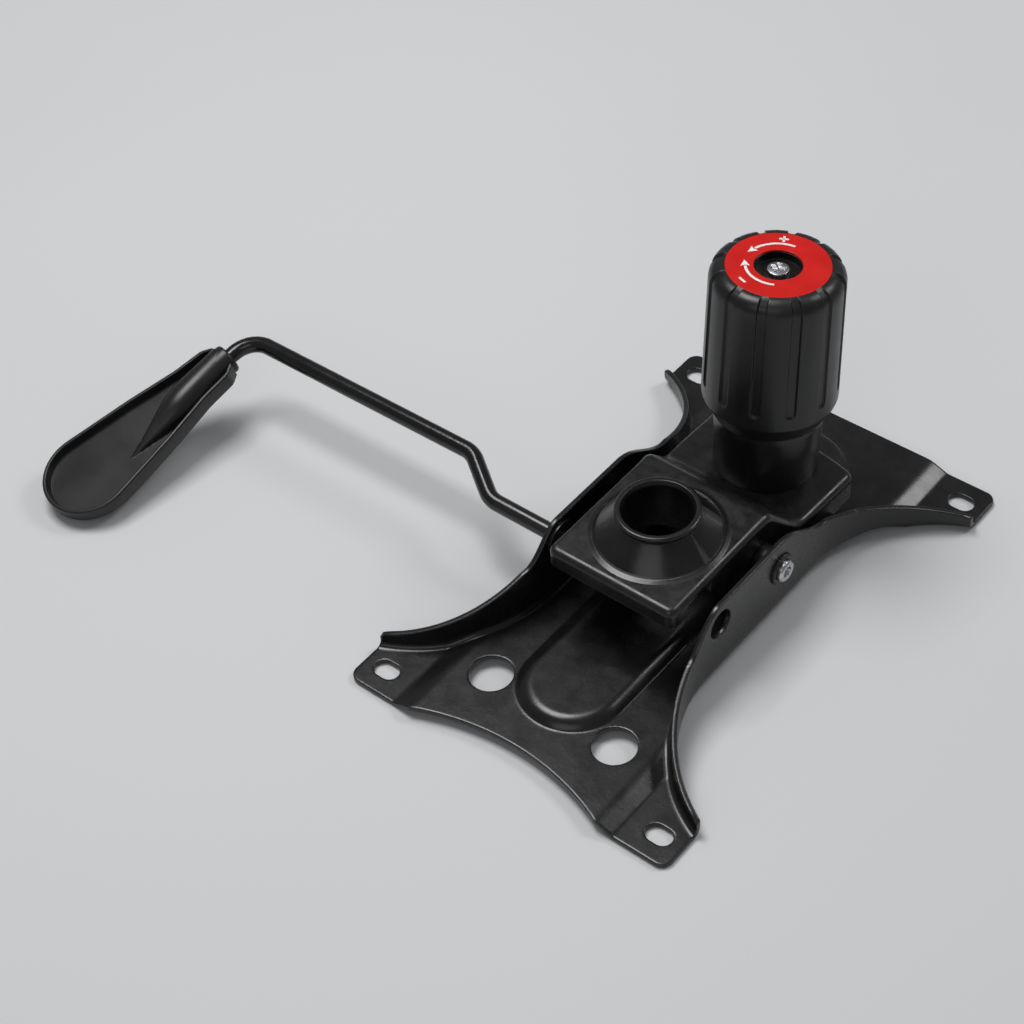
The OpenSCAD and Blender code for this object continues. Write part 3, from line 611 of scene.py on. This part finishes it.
def plate_skin():
    """The right half of the sheet as rows from rear to front, web first, then bend and flange."""
    inner = SHEET + BEND_R
    corner = [(HALF_W - EAR_R + EAR_R * math.cos(a), HALF_L - EAR_R + EAR_R * math.sin(a))
              for a in steps(0, math.pi / 4, 4)]
    bend_end = flange_plan(inner, 1.0)[1]
    ear = [(HALF_W, y) for y in steps(bend_end, HALF_L - EAR_R, 18)[1:-1]] + corner
    runs = steps(-1.0, 1.0, 320)
    side = [(x, -y) for x, y in reversed(ear)] + [flange_plan(inner, t) for t in runs] + ear
    first = len(ear)
    columns = 84
    low_y, high_y = side[0][1], side[-1][1]
    reach_x = side[0][0]
    verts, faces, grid = [], [], []
    for j, (side_x, side_y) in enumerate(side):
        v = (side_y - low_y) / (high_y - low_y)
        middle_y = rear_edge(0) + v * (HALF_L - rear_edge(0))
        row = []
        for i in range(columns + 1):
            u = i / columns
            x = u * side_x
            rear = rear_edge(u * reach_x)
            front = front_edge(u * reach_x)
            along = (1 - v) * rear + v * front
            across = (1 - u) * middle_y + u * side_y
            ends = ((1 - u) * ((1 - v) * rear_edge(0) + v * HALF_L) + u * ((1 - v) * low_y + v * high_y))
            y = along + across - ends
            row.append(len(verts))
            verts.append((x, y, plate_height(x, y)))
        grid.append(row)
    for k, t in enumerate(runs):
        foot_z = verts[grid[first + k][-1]][2]
        for a in steps(0, math.pi / 2, 6)[1:]:
            x, y = flange_plan(inner - BEND_R * math.sin(a), t)
            grid[first + k].append(len(verts))
            verts.append((x, y, foot_z + BEND_R * (1 - math.cos(a))))
        x, y = flange_plan(SHEET, t)
        base = foot_z + BEND_R
        top = max(flange_edge(y, t), base + 0.4)
        for z in steps(base, top, 22)[1:]:
            grid[first + k].append(len(verts))
            verts.append((x, y, z))
    for low, high in zip(grid, grid[1:]):
        for i in range(min(len(low), len(high)) - 1):
            faces.append([low[i], low[i + 1], high[i + 1], high[i]])
    shell = verts, faces
    for end in (-SLOT_Y, SLOT_Y):
        shell = cut_hole(shell, (0, 1), (SLOT_X, end), SLOT_R + EDGE, SLOT_REACH)
    shell = cut_hole(shell, (0, 1), REAR_HOLE, REAR_HOLE_R + EDGE)
    shell = cut_hole(shell, (0, 1), BOLT_HOLE, BOLT_HOLE_R + EDGE)
    shell = cut_hole(shell, (1, 2), PIVOT, PIVOT_HOLE_R + EDGE)
    shell = cut_hole(shell, (1, 2), LEVER, LEVER_HOLE_R + EDGE)
    return mirrored(shell)


plate = kept_in(sheet(plate_skin(), SHEET, EDGE), HALF_W + EDGE, HALF_L + EDGE)
piece("seat_plate_skin", plate, "plate", PAINT, ["seat_plate"], sharp=60)


# Housing

END_Z = FLOOR_START_Z - (PLAN_ENDS[1] - FLOOR_START) * math.tan(LEAN)
ROOF = reading(rounded([(PLAN_ENDS[0], PLATFORM_Z, 0), (PLATFORM_FRONT, PLATFORM_Z, STEP_HEAD_R),
                        (FLOOR_START, FLOOR_START_Z, STEP_FOOT_R), (PLAN_ENDS[1], END_Z, 0)], 9))
HALF = reading(rounded([(PLAN_ENDS[0], PLATFORM_HALF, 0), (PLATFORM_FRONT, PLATFORM_HALF, WIDEN_R),
                        (FLOOR_START, FLOOR_HALF, WIDEN_R), (PLAN_ENDS[1], FLOOR_HALF, 0)], 12))


def housing_foot(y):
    """Bottom edge of the housing's walls."""
    if y < NOTCH[0] or NOTCH[1] - 0.01 <= y < NOTCH[1]:
        return SKIRT_Z
    if y < NOTCH[1]:
        return PLATFORM_Z - FOLD_R - 0.1
    return SKIRT_Z + (WALL_Z - SKIRT_Z) * min((y - NOTCH[1]) / WALL_RUN, 1.0)


def bow_share(y):
    return ease((y - BOW_START) / (FLOOR_END - BOW_START))


def bowed(x, y):
    """A point of the housing's plan, with the floor's front end bowed."""
    return x, y - x * x / (2 * BOW_R) * bow_share(y)


def bowed_out(x, y, out):
    """The direction out of the plan's edge there."""
    return tuple(Vector((out[0] + out[1] * x / BOW_R * bow_share(y), out[1])).normalized())


def housing_skin():
    """Roof rows from rear to front, then the fold and the walls round their rim."""
    rear, front = PLATFORM_REAR + FOLD_R, FLOOR_END - FOLD_R
    rear_r, front_r = PLATFORM_R - FOLD_R, FLOOR_R - FOLD_R
    rows = []
    for a in steps(0, math.pi / 2, 5):
        y = rear + rear_r * (1 - math.cos(a))
        rows.append((y, HALF(y) - FOLD_R - rear_r * (1 - math.sin(a)), (math.sin(a), -math.cos(a))))
    middle = steps(rear + rear_r, front - front_r, 190)[1:-1]
    middle += [NOTCH[0] - 0.02, NOTCH[0] + 0.02, NOTCH[1] - 0.02, NOTCH[1] + 0.02]
    for y in sorted(middle):
        slope = (HALF(y + 0.5) - HALF(y - 0.5))
        size = math.hypot(1, slope)
        rows.append((y, HALF(y) - FOLD_R, (1 / size, -slope / size)))
    for a in steps(math.pi / 2, 0, 9):
        y = front - front_r * (1 - math.cos(a))
        rows.append((y, HALF(y) - FOLD_R - front_r * (1 - math.sin(a)), (math.sin(a), math.cos(a))))
    columns = 112
    verts, faces, grid = [], [], []
    for y, half, _ in rows:
        grid.append(list(range(len(verts), len(verts) + columns + 1)))
        for i in range(columns + 1):
            x, back_y = bowed(half * (2 * i / columns - 1), y)
            verts.append((x, back_y, ROOF(back_y)))
    for low, high in zip(grid, grid[1:]):
        for i in range(columns):
            faces.append([low[i], low[i + 1], high[i + 1], high[i]])
    rim = [(i, (0.0, -1.0)) for i in grid[0]]
    for row, (y, half, out) in zip(grid[1:-1], rows[1:-1]):
        rim.append((row[-1], bowed_out(half, y, out)))
    for i in reversed(grid[-1]):
        rim.append((i, bowed_out(verts[i][0], rows[-1][0], (0.0, 1.0))))
    for row, (y, half, out) in zip(grid[-2:0:-1], rows[-2:0:-1]):
        rim.append((row[0], bowed_out(-half, y, (-out[0], out[1]))))
    loop = [i for i, _ in rim]
    folds = steps(0, math.pi / 2, 9)[1:]
    drops = steps(0.0, 1.0, 10)[1:]
    for a, drop in [(a, 0.0) for a in folds] + [(math.pi / 2, d) for d in drops]:
        next_loop = []
        for i, out in rim:
            x, y, z = verts[i]
            x += out[0] * FOLD_R * math.sin(a)
            y += out[1] * FOLD_R * math.sin(a)
            z -= FOLD_R * (1 - math.cos(a))
            next_loop.append(len(verts))
            verts.append((x, y, z + (housing_foot(y) - z) * drop))
        for k in range(len(loop)):
            n = (k + 1) % len(loop)
            faces.append([loop[k], next_loop[k], next_loop[n], loop[n]])
        loop = next_loop
    shell = cut_hole((verts, faces), (0, 1), (0.0, COLUMN_Y), COLUMN_HOLE_R)
    return cut_hole(shell, (0, 1), (0.0, BOLT_Y), FLOOR_HOLE_R)


piece("housing_skin", sheet(housing_skin(), SHEET, EDGE), "housing", PAINT_DULL, ["housing"])

# Turned profiles are (radius, height, corner rounding). The platform rises in a low collar round the cone.
socket = rounded([(14.0, -10.5, 0), (17.0, -10.5, 0.5), (17.0, -0.7, 0), (31.8, -0.7, 0), (31.6, 0.0, 0),
                  (29.5, 0.72, 2.5), (28.8, 0.78, 0.3), (28.4, 0.3, 0.3), (18.7, 11.5, 0.7),
                  (19.3, 12.3, 0.4), (19.3, 14.7, 1.2), (16.6, 14.7, 0.5), (15.5, 12.6, 1.2),
                  (14.0, -10.5, 0)], 7)
piece("column_socket_skin", placed(revolve(socket, 128), Matrix.Translation((0, COLUMN_Y, PLATFORM_Z))),
      "housing", PAINT, ["column_socket"])


# Pivot

head = rounded([(0.0, 45.0, 0), (2.3, 45.0, 0.4), (2.6, 48.7, 0.3), (4.5, 48.8, 0.9), (5.4, 47.9, 0.5),
                (5.4, 46.85, 0), (5.0, 46.8, 0), (5.0, 30.0, 0)], 4)[::-1]
bush = rounded([(5.1, 46.45, 0), (7.2, 46.5, 0.5), (7.7, 45.6, 0.3), (7.7, 45.0, 0), (6.75, 45.0, 0),
                (6.75, 42.5, 0), (5.1, 42.5, 0)], 4)[::-1]
spacer = rounded([(5.1, 42.2, 0), (7.5, 42.2, 0.6), (7.5, 34.0, 0.6), (5.1, 34.0, 0)], 4)[::-1]


def ridged(a, r, z):
    """Fine ribs round the bush's collar."""
    return r - 0.22 * (0.5 + 0.5 * math.cos(30 * a)) if r > 6.9 else r


axle = [placed(revolve(head, 64), on_pivot(side)) for side in (-1, 1)]
piece("pivot_axle_ends", joined(*axle), "housing", ZINC, ["pivot_axle"])
rings = [placed(revolve(bush, 240, ridged), on_pivot(side)) for side in (-1, 1)]
piece("pivot_bush_rings", joined(*rings), "plate", PLASTIC, ["pivot_bushes"])
collars = [placed(revolve(spacer, 72), on_pivot(side)) for side in (-1, 1)]
piece("axle_spacer_rings", joined(*collars), "housing", SLEEVE_PLASTIC, ["axle_spacers"])


# Spring and sleeve

SLEEVE_H = SLEEVE_SHOW + 8.0
sleeve = rounded([(22.0, 0.0, 0), (24.0, 0.0, 0.4), (24.85, SLEEVE_SHOW - 3.5, 6),
                  (24.4, SLEEVE_SHOW + 2.0, 4), (24.4, SLEEVE_H, 0.6),
                  (23.0, SLEEVE_H, 0.6), (23.0, SLEEVE_SHOW, 0), (22.0, 0.0, 0)], 5)
piece("spring_sleeve_tube", placed(revolve(sleeve, 128), on_bolt(FLOOR_S)),
      "housing", SLEEVE_PLASTIC, ["spring_sleeve"])


def coil():
    """Round wire wound on the bolt axis."""
    rings = []
    lead = (SPRING_L - 2 * WIRE_R) / COIL_TURNS
    for k in range(COIL_TURNS * TURN_STEPS + 1):
        a = 2 * math.pi * k / TURN_STEPS
        out = Vector((math.cos(a), math.sin(a), 0))
        rise = Vector((0, 0, WIRE_R + lead * k / TURN_STEPS))
        rings.append((out * COIL_R + rise, out, Vector((0, 0, 1)), WIRE_R))
    return tube(rings, 14)


piece("tension_spring_coil", placed(coil(), on_bolt(SPRING_S)), "housing", STEEL,
      ["tension_spring"])


# Knob

GROOVES = 12
GROOVE_TURN = math.radians(20.8)
GROOVE_DEPTH = 1.0
GROOVE_HALF = 1.9
GROOVE_END = 18.6
GROOVE_WALL = 0.45
PANEL_CROWN = 0.12
PANEL_HALF = 7.85
PANEL_R = 30.0
ROOF_DEPTH = 38.0
CAVITY_R = 27.2
LIP_R = 25.5
RECESS_R = 10.5
LABEL_T = 0.8
LABEL_SEAT_R = 23.02


def knob_rows():
    """Section of the knob from its roof inside, round its mouth, up and into the recess: (r, z, grooved)."""
    roof, seat = KNOB_H - ROOF_DEPTH, KNOB_H - RECESS_DEPTH
    rows = [(5.0, roof, False), (CAVITY_R, roof, False), (CAVITY_R, 3.3, False),
            (LIP_R, 3.0, False), (LIP_R, 0.3, False)]
    side = rounded([(25.55, 0.1, 0), (25.9, 0.0, 0.15), (30.8, 9.5, 2.5), (29.72, KNOB_H, 7.0),
                    (20.0, KNOB_H, 0)], 9)
    for a, b in zip(side, side[1:]):
        if a[0] < 23.05:
            break
        rows.append((a[0], a[1], True))
        if b[1] - a[1] > 40:
            for z in steps(a[1], 24.0, 36)[1:] + steps(24.0, b[1], 14)[1:-1]:
                rows.append((a[0] + (b[0] - a[0]) * (z - a[1]) / (b[1] - a[1]), z, True))
    rows += [(LABEL_SEAT_R, KNOB_H - 0.1, False), (LABEL_SEAT_R, KNOB_H - LABEL_T, False),
             (10.9, KNOB_H - LABEL_T, False), (RECESS_R, KNOB_H - 1.1, False),
             (RECESS_R, seat + 0.3, False), (10.2, seat, False), (3.0, seat, False)]
    return rows


def groove_sink(across, z, r):
    """How deep the surface lies below the knob's panels."""
    below = max(GROOVE_END - z, 0.0)
    off = math.hypot(across, below)
    sink = GROOVE_DEPTH * (1 - soft_ramp((off - GROOVE_HALF) / GROOVE_WALL, 0.35))
    crown = PANEL_CROWN * min(across / 7.8, 1.0) ** 2
    return (sink + (PANEL_CROWN - crown)) * min(max((r - 22.9) / 3.0, 0.25), 1.0)


def knob_skin():
    """The knob's section swept round, with finer steps at the walls of the grooves."""
    marks = [0.0, 0.9, 1.5, 1.75, 1.88, 2.0, 2.1, 2.2, 2.32, 2.45, 2.7, 3.4, 4.8, 6.4]
    offsets = sorted({-m for m in marks} | set(marks)) + [PANEL_HALF]
    angles = [(k, across) for k in range(GROOVES) for across in offsets]
    rows = knob_rows()
    verts, faces = [], []
    count = len(angles)
    for j, (r, z, grooved) in enumerate(rows):
        before, after = rows[max(j - 1, 0)], rows[min(j + 1, len(rows) - 1)]
        run = Vector((after[0] - before[0], after[1] - before[1])).normalized()
        out = Vector((run.y, -run.x))
        for k, across in angles:
            a = GROOVE_TURN + 2 * math.pi * k / GROOVES + across / PANEL_R
            sink = groove_sink(abs(across), z, r) if grooved else 0.0
            reach = r - sink * out.x
            verts.append((reach * math.cos(a), reach * math.sin(a), z - sink * out.y))
    for j in range(len(rows) - 1):
        for k in range(count):
            n = (k + 1) % count
            faces.append([j * count + k, j * count + n, (j + 1) * count + n, (j + 1) * count + k])
    return verts, faces


piece("knob_skin", placed(knob_skin(), on_bolt(MOUTH_S)), "knob", PLASTIC, ["knob"])

disc = rounded([(10.55, -LABEL_T, 0), (22.98, -LABEL_T, 0), (22.98, 0.0, 0.3), (10.55, 0.0, 0.3),
                (10.55, -LABEL_T, 0)], 4)
PRINT_Z = 0.02
ARROW_LENGTH = 4.2
ARROW_HALF = 2.1
ARROW_NOTCH = 0.7
piece("knob_label_disc", placed(revolve(disc, 160), on_bolt(TOP_S)), "knob", RED,
      ["knob_label"])


def print_band(r, width, start, end):
    """A printed arc on the label, from one angle to the other in degrees."""
    verts, faces = [], []
    for k, a in enumerate(steps(math.radians(start), math.radians(end), 24)):
        for reach in (r - width / 2, r + width / 2):
            verts.append((reach * math.cos(a), reach * math.sin(a), PRINT_Z))
        if k:
            face = [2 * k - 2, 2 * k - 1, 2 * k + 1, 2 * k]
            faces.append(face if end > start else face[::-1])
    return verts, faces


def print_head(r, at, turn):
    """An arrow head at an angle in degrees, pointing round the label."""
    a = math.radians(at)
    centre = Vector((r * math.cos(a), r * math.sin(a), PRINT_Z))
    along = Vector((-math.sin(a), math.cos(a), 0)) * turn
    out = Vector((math.cos(a), math.sin(a), 0))
    points = [centre + along * ARROW_LENGTH, centre + out * ARROW_HALF,
              centre + along * ARROW_NOTCH, centre - out * ARROW_HALF]
    order = [0, 1, 2, 3] if turn > 0 else [3, 2, 1, 0]
    return [tuple(p) for p in points], [order]


def print_bar(x, y, length, width, turn):
    """A short printed bar, one for a minus and two for a plus."""
    along = Vector((math.cos(turn), math.sin(turn), 0)) * (length / 2)
    over = Vector((-math.sin(turn), math.cos(turn), 0)) * (width / 2)
    centre = Vector((x, y, PRINT_Z))
    points = [centre - along - over, centre + along - over, centre + along + over, centre - along + over]
    return [tuple(p) for p in points], [[0, 1, 2, 3]]


marks = [print_band(15.1, 1.2, 96, 166), print_head(15.1, 166, 1),
         print_band(14.2, 1.2, 297, 220), print_head(14.2, 220, -1),
         print_bar(-8.4, 16.6, 4.2, 1.1, math.radians(117)),
         print_bar(-8.4, 16.6, 4.2, 1.1, math.radians(27)),
         print_bar(-6.2, -18.0, 4.2, 1.1, math.radians(162))]
piece("knob_label_marks", placed(joined(*marks), on_bolt(TOP_S)), "knob", WHITE)


HEAD_R = 5.3
CROWN_R = 4.6
CROSS_REACH = 3.0
CROSS_HALF = 0.8
CROSS_DEPTH = 1.3
CROSS_WALL = 0.8


def screw_head():
    """A round screw head with a cross recess."""
    def height(x, y):
        r = math.hypot(x, y)
        top = 2.75 - 0.028 * r * r if r < CROWN_R else 2.16 - 2.0 * ((r - CROWN_R) / 0.7) ** 2
        arm = min(max(abs(x) - CROSS_REACH, abs(y) - CROSS_HALF),
                  max(abs(y) - CROSS_REACH, abs(x) - CROSS_HALF))
        return top - CROSS_DEPTH * (1 - soft_ramp(arm / CROSS_WALL + 0.5, 0.3))
    verts, faces = [(0.0, 0.0, height(0, 0))], []
    reaches = steps(0.0, CROWN_R, 40)[1:] + steps(CROWN_R, HEAD_R, 6)[1:]
    count = 160
    for r in reaches:
        for k in range(count):
            a = 2 * math.pi * k / count
            x, y = r * math.cos(a), r * math.sin(a)
            verts.append((x, y, height(x, y)))
    for k in range(count):
        a = 2 * math.pi * k / count
        verts.append((HEAD_R * math.cos(a), HEAD_R * math.sin(a), 0.0))
    for k in range(count):
        n = (k + 1) % count
        faces.append([0, 1 + k, 1 + n])
        for j in range(len(reaches)):
            low, high = 1 + j * count, 1 + (j + 1) * count
            faces.append([low + k, high + k, high + n, low + n])
    return verts, faces


shank = revolve([(0.0, -14.0), (2.7, -14.0), (3.0, -13.6), (3.0, 0.1)], 32)
piece("knob_screw_cross", placed(joined(screw_head(), shank), on_bolt(RECESS_S + 1.0, math.radians(25))),
      "knob", ZINC, ["knob_screw"], sharp=50)


# Lever

def rod_skin():
    """The cranked rod, with the groove for its clip near the inner end."""
    end = HANDLE_START + 29.5
    path = [(-18.0, 0.0, 0), (-27.4, 0.0, 0), (-28.8, 0.0, 0), (*CRANK[0], BAR_BEND_R),
            (*CRANK[1], BAR_BEND_R), (*HANDLE_BEND, BAR_BEND_R),
            (HANDLE_BEND[0] - end * math.cos(HANDLE_TURN), HANDLE_BEND[1] - end * math.sin(HANDLE_TURN), 0)]
    line = [Vector((x, y, 0)) for x, y in rounded(path, 14)]
    rings = []
    for k, p in enumerate(line):
        along = (line[min(k + 1, len(line) - 1)] - line[max(k - 1, 0)]).normalized()
        over = Vector((0, 0, 1)).cross(along)
        if k in (1, 2):
            inner, outer = (ROD_R, CLIP_GROOVE_R) if k == 1 else (CLIP_GROOVE_R, ROD_R)
            rings += [(p, over, Vector((0, 0, 1)), inner), (p, over, Vector((0, 0, 1)), outer)]
        elif k in (0, len(line) - 1):
            step = along * (0.5 if k == 0 else -0.5)
            pair = [(p, over, Vector((0, 0, 1)), ROD_R - 0.5), (p + step, over, Vector((0, 0, 1)), ROD_R)]
            rings += pair if k == 0 else pair[::-1]
        else:
            rings.append((p, over, Vector((0, 0, 1)), ROD_R))
    return tube(rings, 28)


piece("lever_rod_bar", placed(rod_skin(), on_lever()), "lever", ROD_PAINT, ["lever_rod"])

TIP_S = HANDLE_L - TIP_R
PLATE_S = 3.2
NECK_S = 15.0
RIM = 1.9
WEB_TOP = -0.8
WEB_UNDER = -2.6
BOSS_R = 7.7
BOSS_SWELL = 1.5
BOSS_FULL = 34.0
CONE_S = 36.0
CONE_L = 33.0
MARK_AT = (62.0, -4.3)
MARK_R = 2.6
SIDE_TILT = math.radians(9.3)
OUTLINE = reading(rounded([(PLATE_S, 8.4, 0), (8.0, 11.4, 5.0), (24.0, 12.8, 30.0), (50.0, 17.9, 60.0),
                           (TIP_S - TIP_R * math.sin(SIDE_TILT), TIP_R * math.cos(SIDE_TILT), 0)], 8))


def boss_height(s, across):
    """Height of the pointed boss above the handle's middle plane, or 0 beside it."""
    along = (s - CONE_S) / CONE_L
    r = (BOSS_R + BOSS_SWELL * ease(s / BOSS_FULL)) * max(1 - (along + math.hypot(along, 0.14)) / 2, 0.0)
    off = across + 1.4 - 0.135 * s
    return math.sqrt(max(r * r - off * off, 0.0))


def paddle_height(inside, s, across, side):
    """Surface of the paddle: a rounded rim round a recessed web, with the boss and a small round mark."""
    edge = 0.9 if side > 0 else 0.9 + 2.6 * ease((s - 72.0) / 30.0)
    web = WEB_TOP if side > 0 else -WEB_UNDER
    rim = RIM if side > 0 else RIM + edge
    plate = HALF_T - edge + math.sqrt(max(edge ** 2 - max(edge - inside, 0.0) ** 2, 0.0))
    plate += (web - HALF_T) * soft_ramp((inside - rim) / 0.8, 0.3)
    if side > 0:
        off = math.hypot(s - MARK_AT[0], across - MARK_AT[1])
        plate += 0.45 * (1 - soft_ramp((off - MARK_R) / 0.6, 0.3))
    above = boss_height(s, across) - plate
    share = min(max(0.5 + 0.5 * above / 0.5, 0.0), 1.0)
    return plate + above * share + 0.25 * share * (1 - share)


def paddle():
    """The handle's paddle: lines from its outline in to its middle line, top and bottom."""
    spokes = []
    for s in steps(PLATE_S, TIP_S - TIP_R * math.sin(SIDE_TILT), 110)[:-1]:
        half = OUTLINE(s)
        spokes.append(((s, half), (s + half * math.tan(SIDE_TILT) * ease((s - NECK_S) / 30.0), 0.0)))
    for a in steps(math.pi / 2 + SIDE_TILT, 0.0, 48):
        spokes.append(((TIP_S + TIP_R * math.cos(a), TIP_R * math.sin(a)), (TIP_S, 0.0)))
    spokes += [((p[0], -p[1]), m) for p, m in reversed(spokes[:-1])]
    marks = [0.0, 0.06, 0.2, 0.45, 0.9, 1.3, 1.6, 1.8, 1.95, 2.1, 2.25, 2.4, 2.55, 2.7, 2.9, 3.3, 3.8,
             4.4, 5.0]
    count = len(marks) + 30
    verts, faces = [], []
    for side in (1, -1):
        for p, m in spokes:
            length = math.dist(p, m)
            for inside in marks + steps(marks[-1], length, 30)[1:]:
                share = inside / length
                s = p[0] + (m[0] - p[0]) * share
                across = p[1] + (m[1] - p[1]) * share
                verts.append((s, across, side * paddle_height(inside, s, across, side)))
    under = len(spokes) * count
    for j in range(len(spokes) - 1):
        for i in range(count - 1):
            face = [j * count + i, j * count + i + 1, (j + 1) * count + i + 1, (j + 1) * count + i]
            faces.append(face)
            faces.append([under + v for v in reversed(face)])
        faces.append([j * count, (j + 1) * count, under + (j + 1) * count, under + j * count])
    last = (len(spokes) - 1) * count
    for i in range(count - 1):
        faces.append([i, under + i, under + i + 1, i + 1])
        faces.append([last + i, last + i + 1, under + last + i + 1, under + last + i])
    return verts, faces


ferrule = rounded([(4.05, 0.0, 0), (7.1, 0.0, 0.6), (7.7, 1.0, 0.5), (7.7, 10.0, 0), (4.05, 10.0, 0),
                   (4.05, 0.0, 0)], 4)
across_bar = Matrix.Rotation(math.pi / 2, 4, "Y")
handle_place = (on_lever() @ Matrix.Translation((*HANDLE_BEND, 0))
                @ Matrix.Rotation(math.pi + HANDLE_TURN, 4, "Z") @ Matrix.Translation((HANDLE_START, 0, 0)))
handle = joined(paddle(), placed(revolve(ferrule, 64), across_bar))
piece("lever_handle_paddle", placed(handle, handle_place), "lever", PLASTIC,
      ["lever_handle"])


# Finishes of the pieces that keep their solids

for node, finish in (("lever_bush", SLEEVE_PLASTIC), ("rest_pads", RUBBER), ("pivot_tube", PAINT_DULL),
                     ("spring_seat", STEEL), ("tension_bolt", STEEL), ("thrust_washer", STEEL),
                     ("knob_insert", STEEL), ("screw_washer", STEEL_BLACKED), ("lever_clip", STEEL),
                     ("release_tongue", PAINT_DULL)):
    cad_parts[node].data.materials.clear()
    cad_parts[node].data.materials.append(finish)


# Floor, light and camera; lengths are metres from here on

floor_mesh = bpy.data.meshes.new("floor")
corners = [(-4, -4), (4, -4), (4, 4), (-4, 4)]
floor_mesh.from_pydata([(x, y, -0.0003) for x, y in corners], [], [[0, 1, 2, 3]])
floor = bpy.data.objects.new("floor", floor_mesh)
scene.collection.objects.link(floor)
floor_mesh.materials.append(pale_floor())


def soft_light(name, place, aim, size, watts):
    data = bpy.data.lights.new(name, "AREA")
    data.shape = "RECTANGLE"
    data.size = size[0]
    data.size_y = size[1]
    data.energy = watts
    lamp = bpy.data.objects.new(name, data)
    scene.collection.objects.link(lamp)
    lamp.location = place
    lamp.rotation_euler = (Vector(aim) - Vector(place)).to_track_quat("-Z", "Y").to_euler()


soft_light("key", (-0.55, 0.05, 1.50), (-0.05, 0, 0.03), (0.7, 0.7), 16)
soft_light("back", (0.55, 1.10, 1.30), (0, 0, 0.05), (0.5, 0.5), 7)
soft_light("fill", (0.45, -1.35, 1.20), (0, 0, 0.03), (1.2, 0.8), 3)

world = bpy.data.worlds.new("studio")
world.use_nodes = True
world.node_tree.nodes["Background"].inputs["Color"].default_value = (0.93, 0.95, 1.0, 1)
world.node_tree.nodes["Background"].inputs["Strength"].default_value = 0.2
scene.world = world
scene.view_settings.view_transform = "Standard"

right = (0.7738, 0.6303, -0.0632)
down = (0.4195, -0.5846, -0.6944)
ahead = (-0.4747, 0.5108, -0.7168)
eye = (0.4141, -0.5534, 0.7655)
lens = bpy.data.cameras.new("camera")
lens.lens = 79.49
lens.sensor_width = 36
lens.clip_start = 0.05
lens.clip_end = 30
camera = bpy.data.objects.new("camera", lens)
scene.collection.objects.link(camera)
camera.matrix_world = Matrix([[right[k], -down[k], -ahead[k], eye[k]] for k in range(3)] + [[0, 0, 0, 1]])
scene.camera = camera
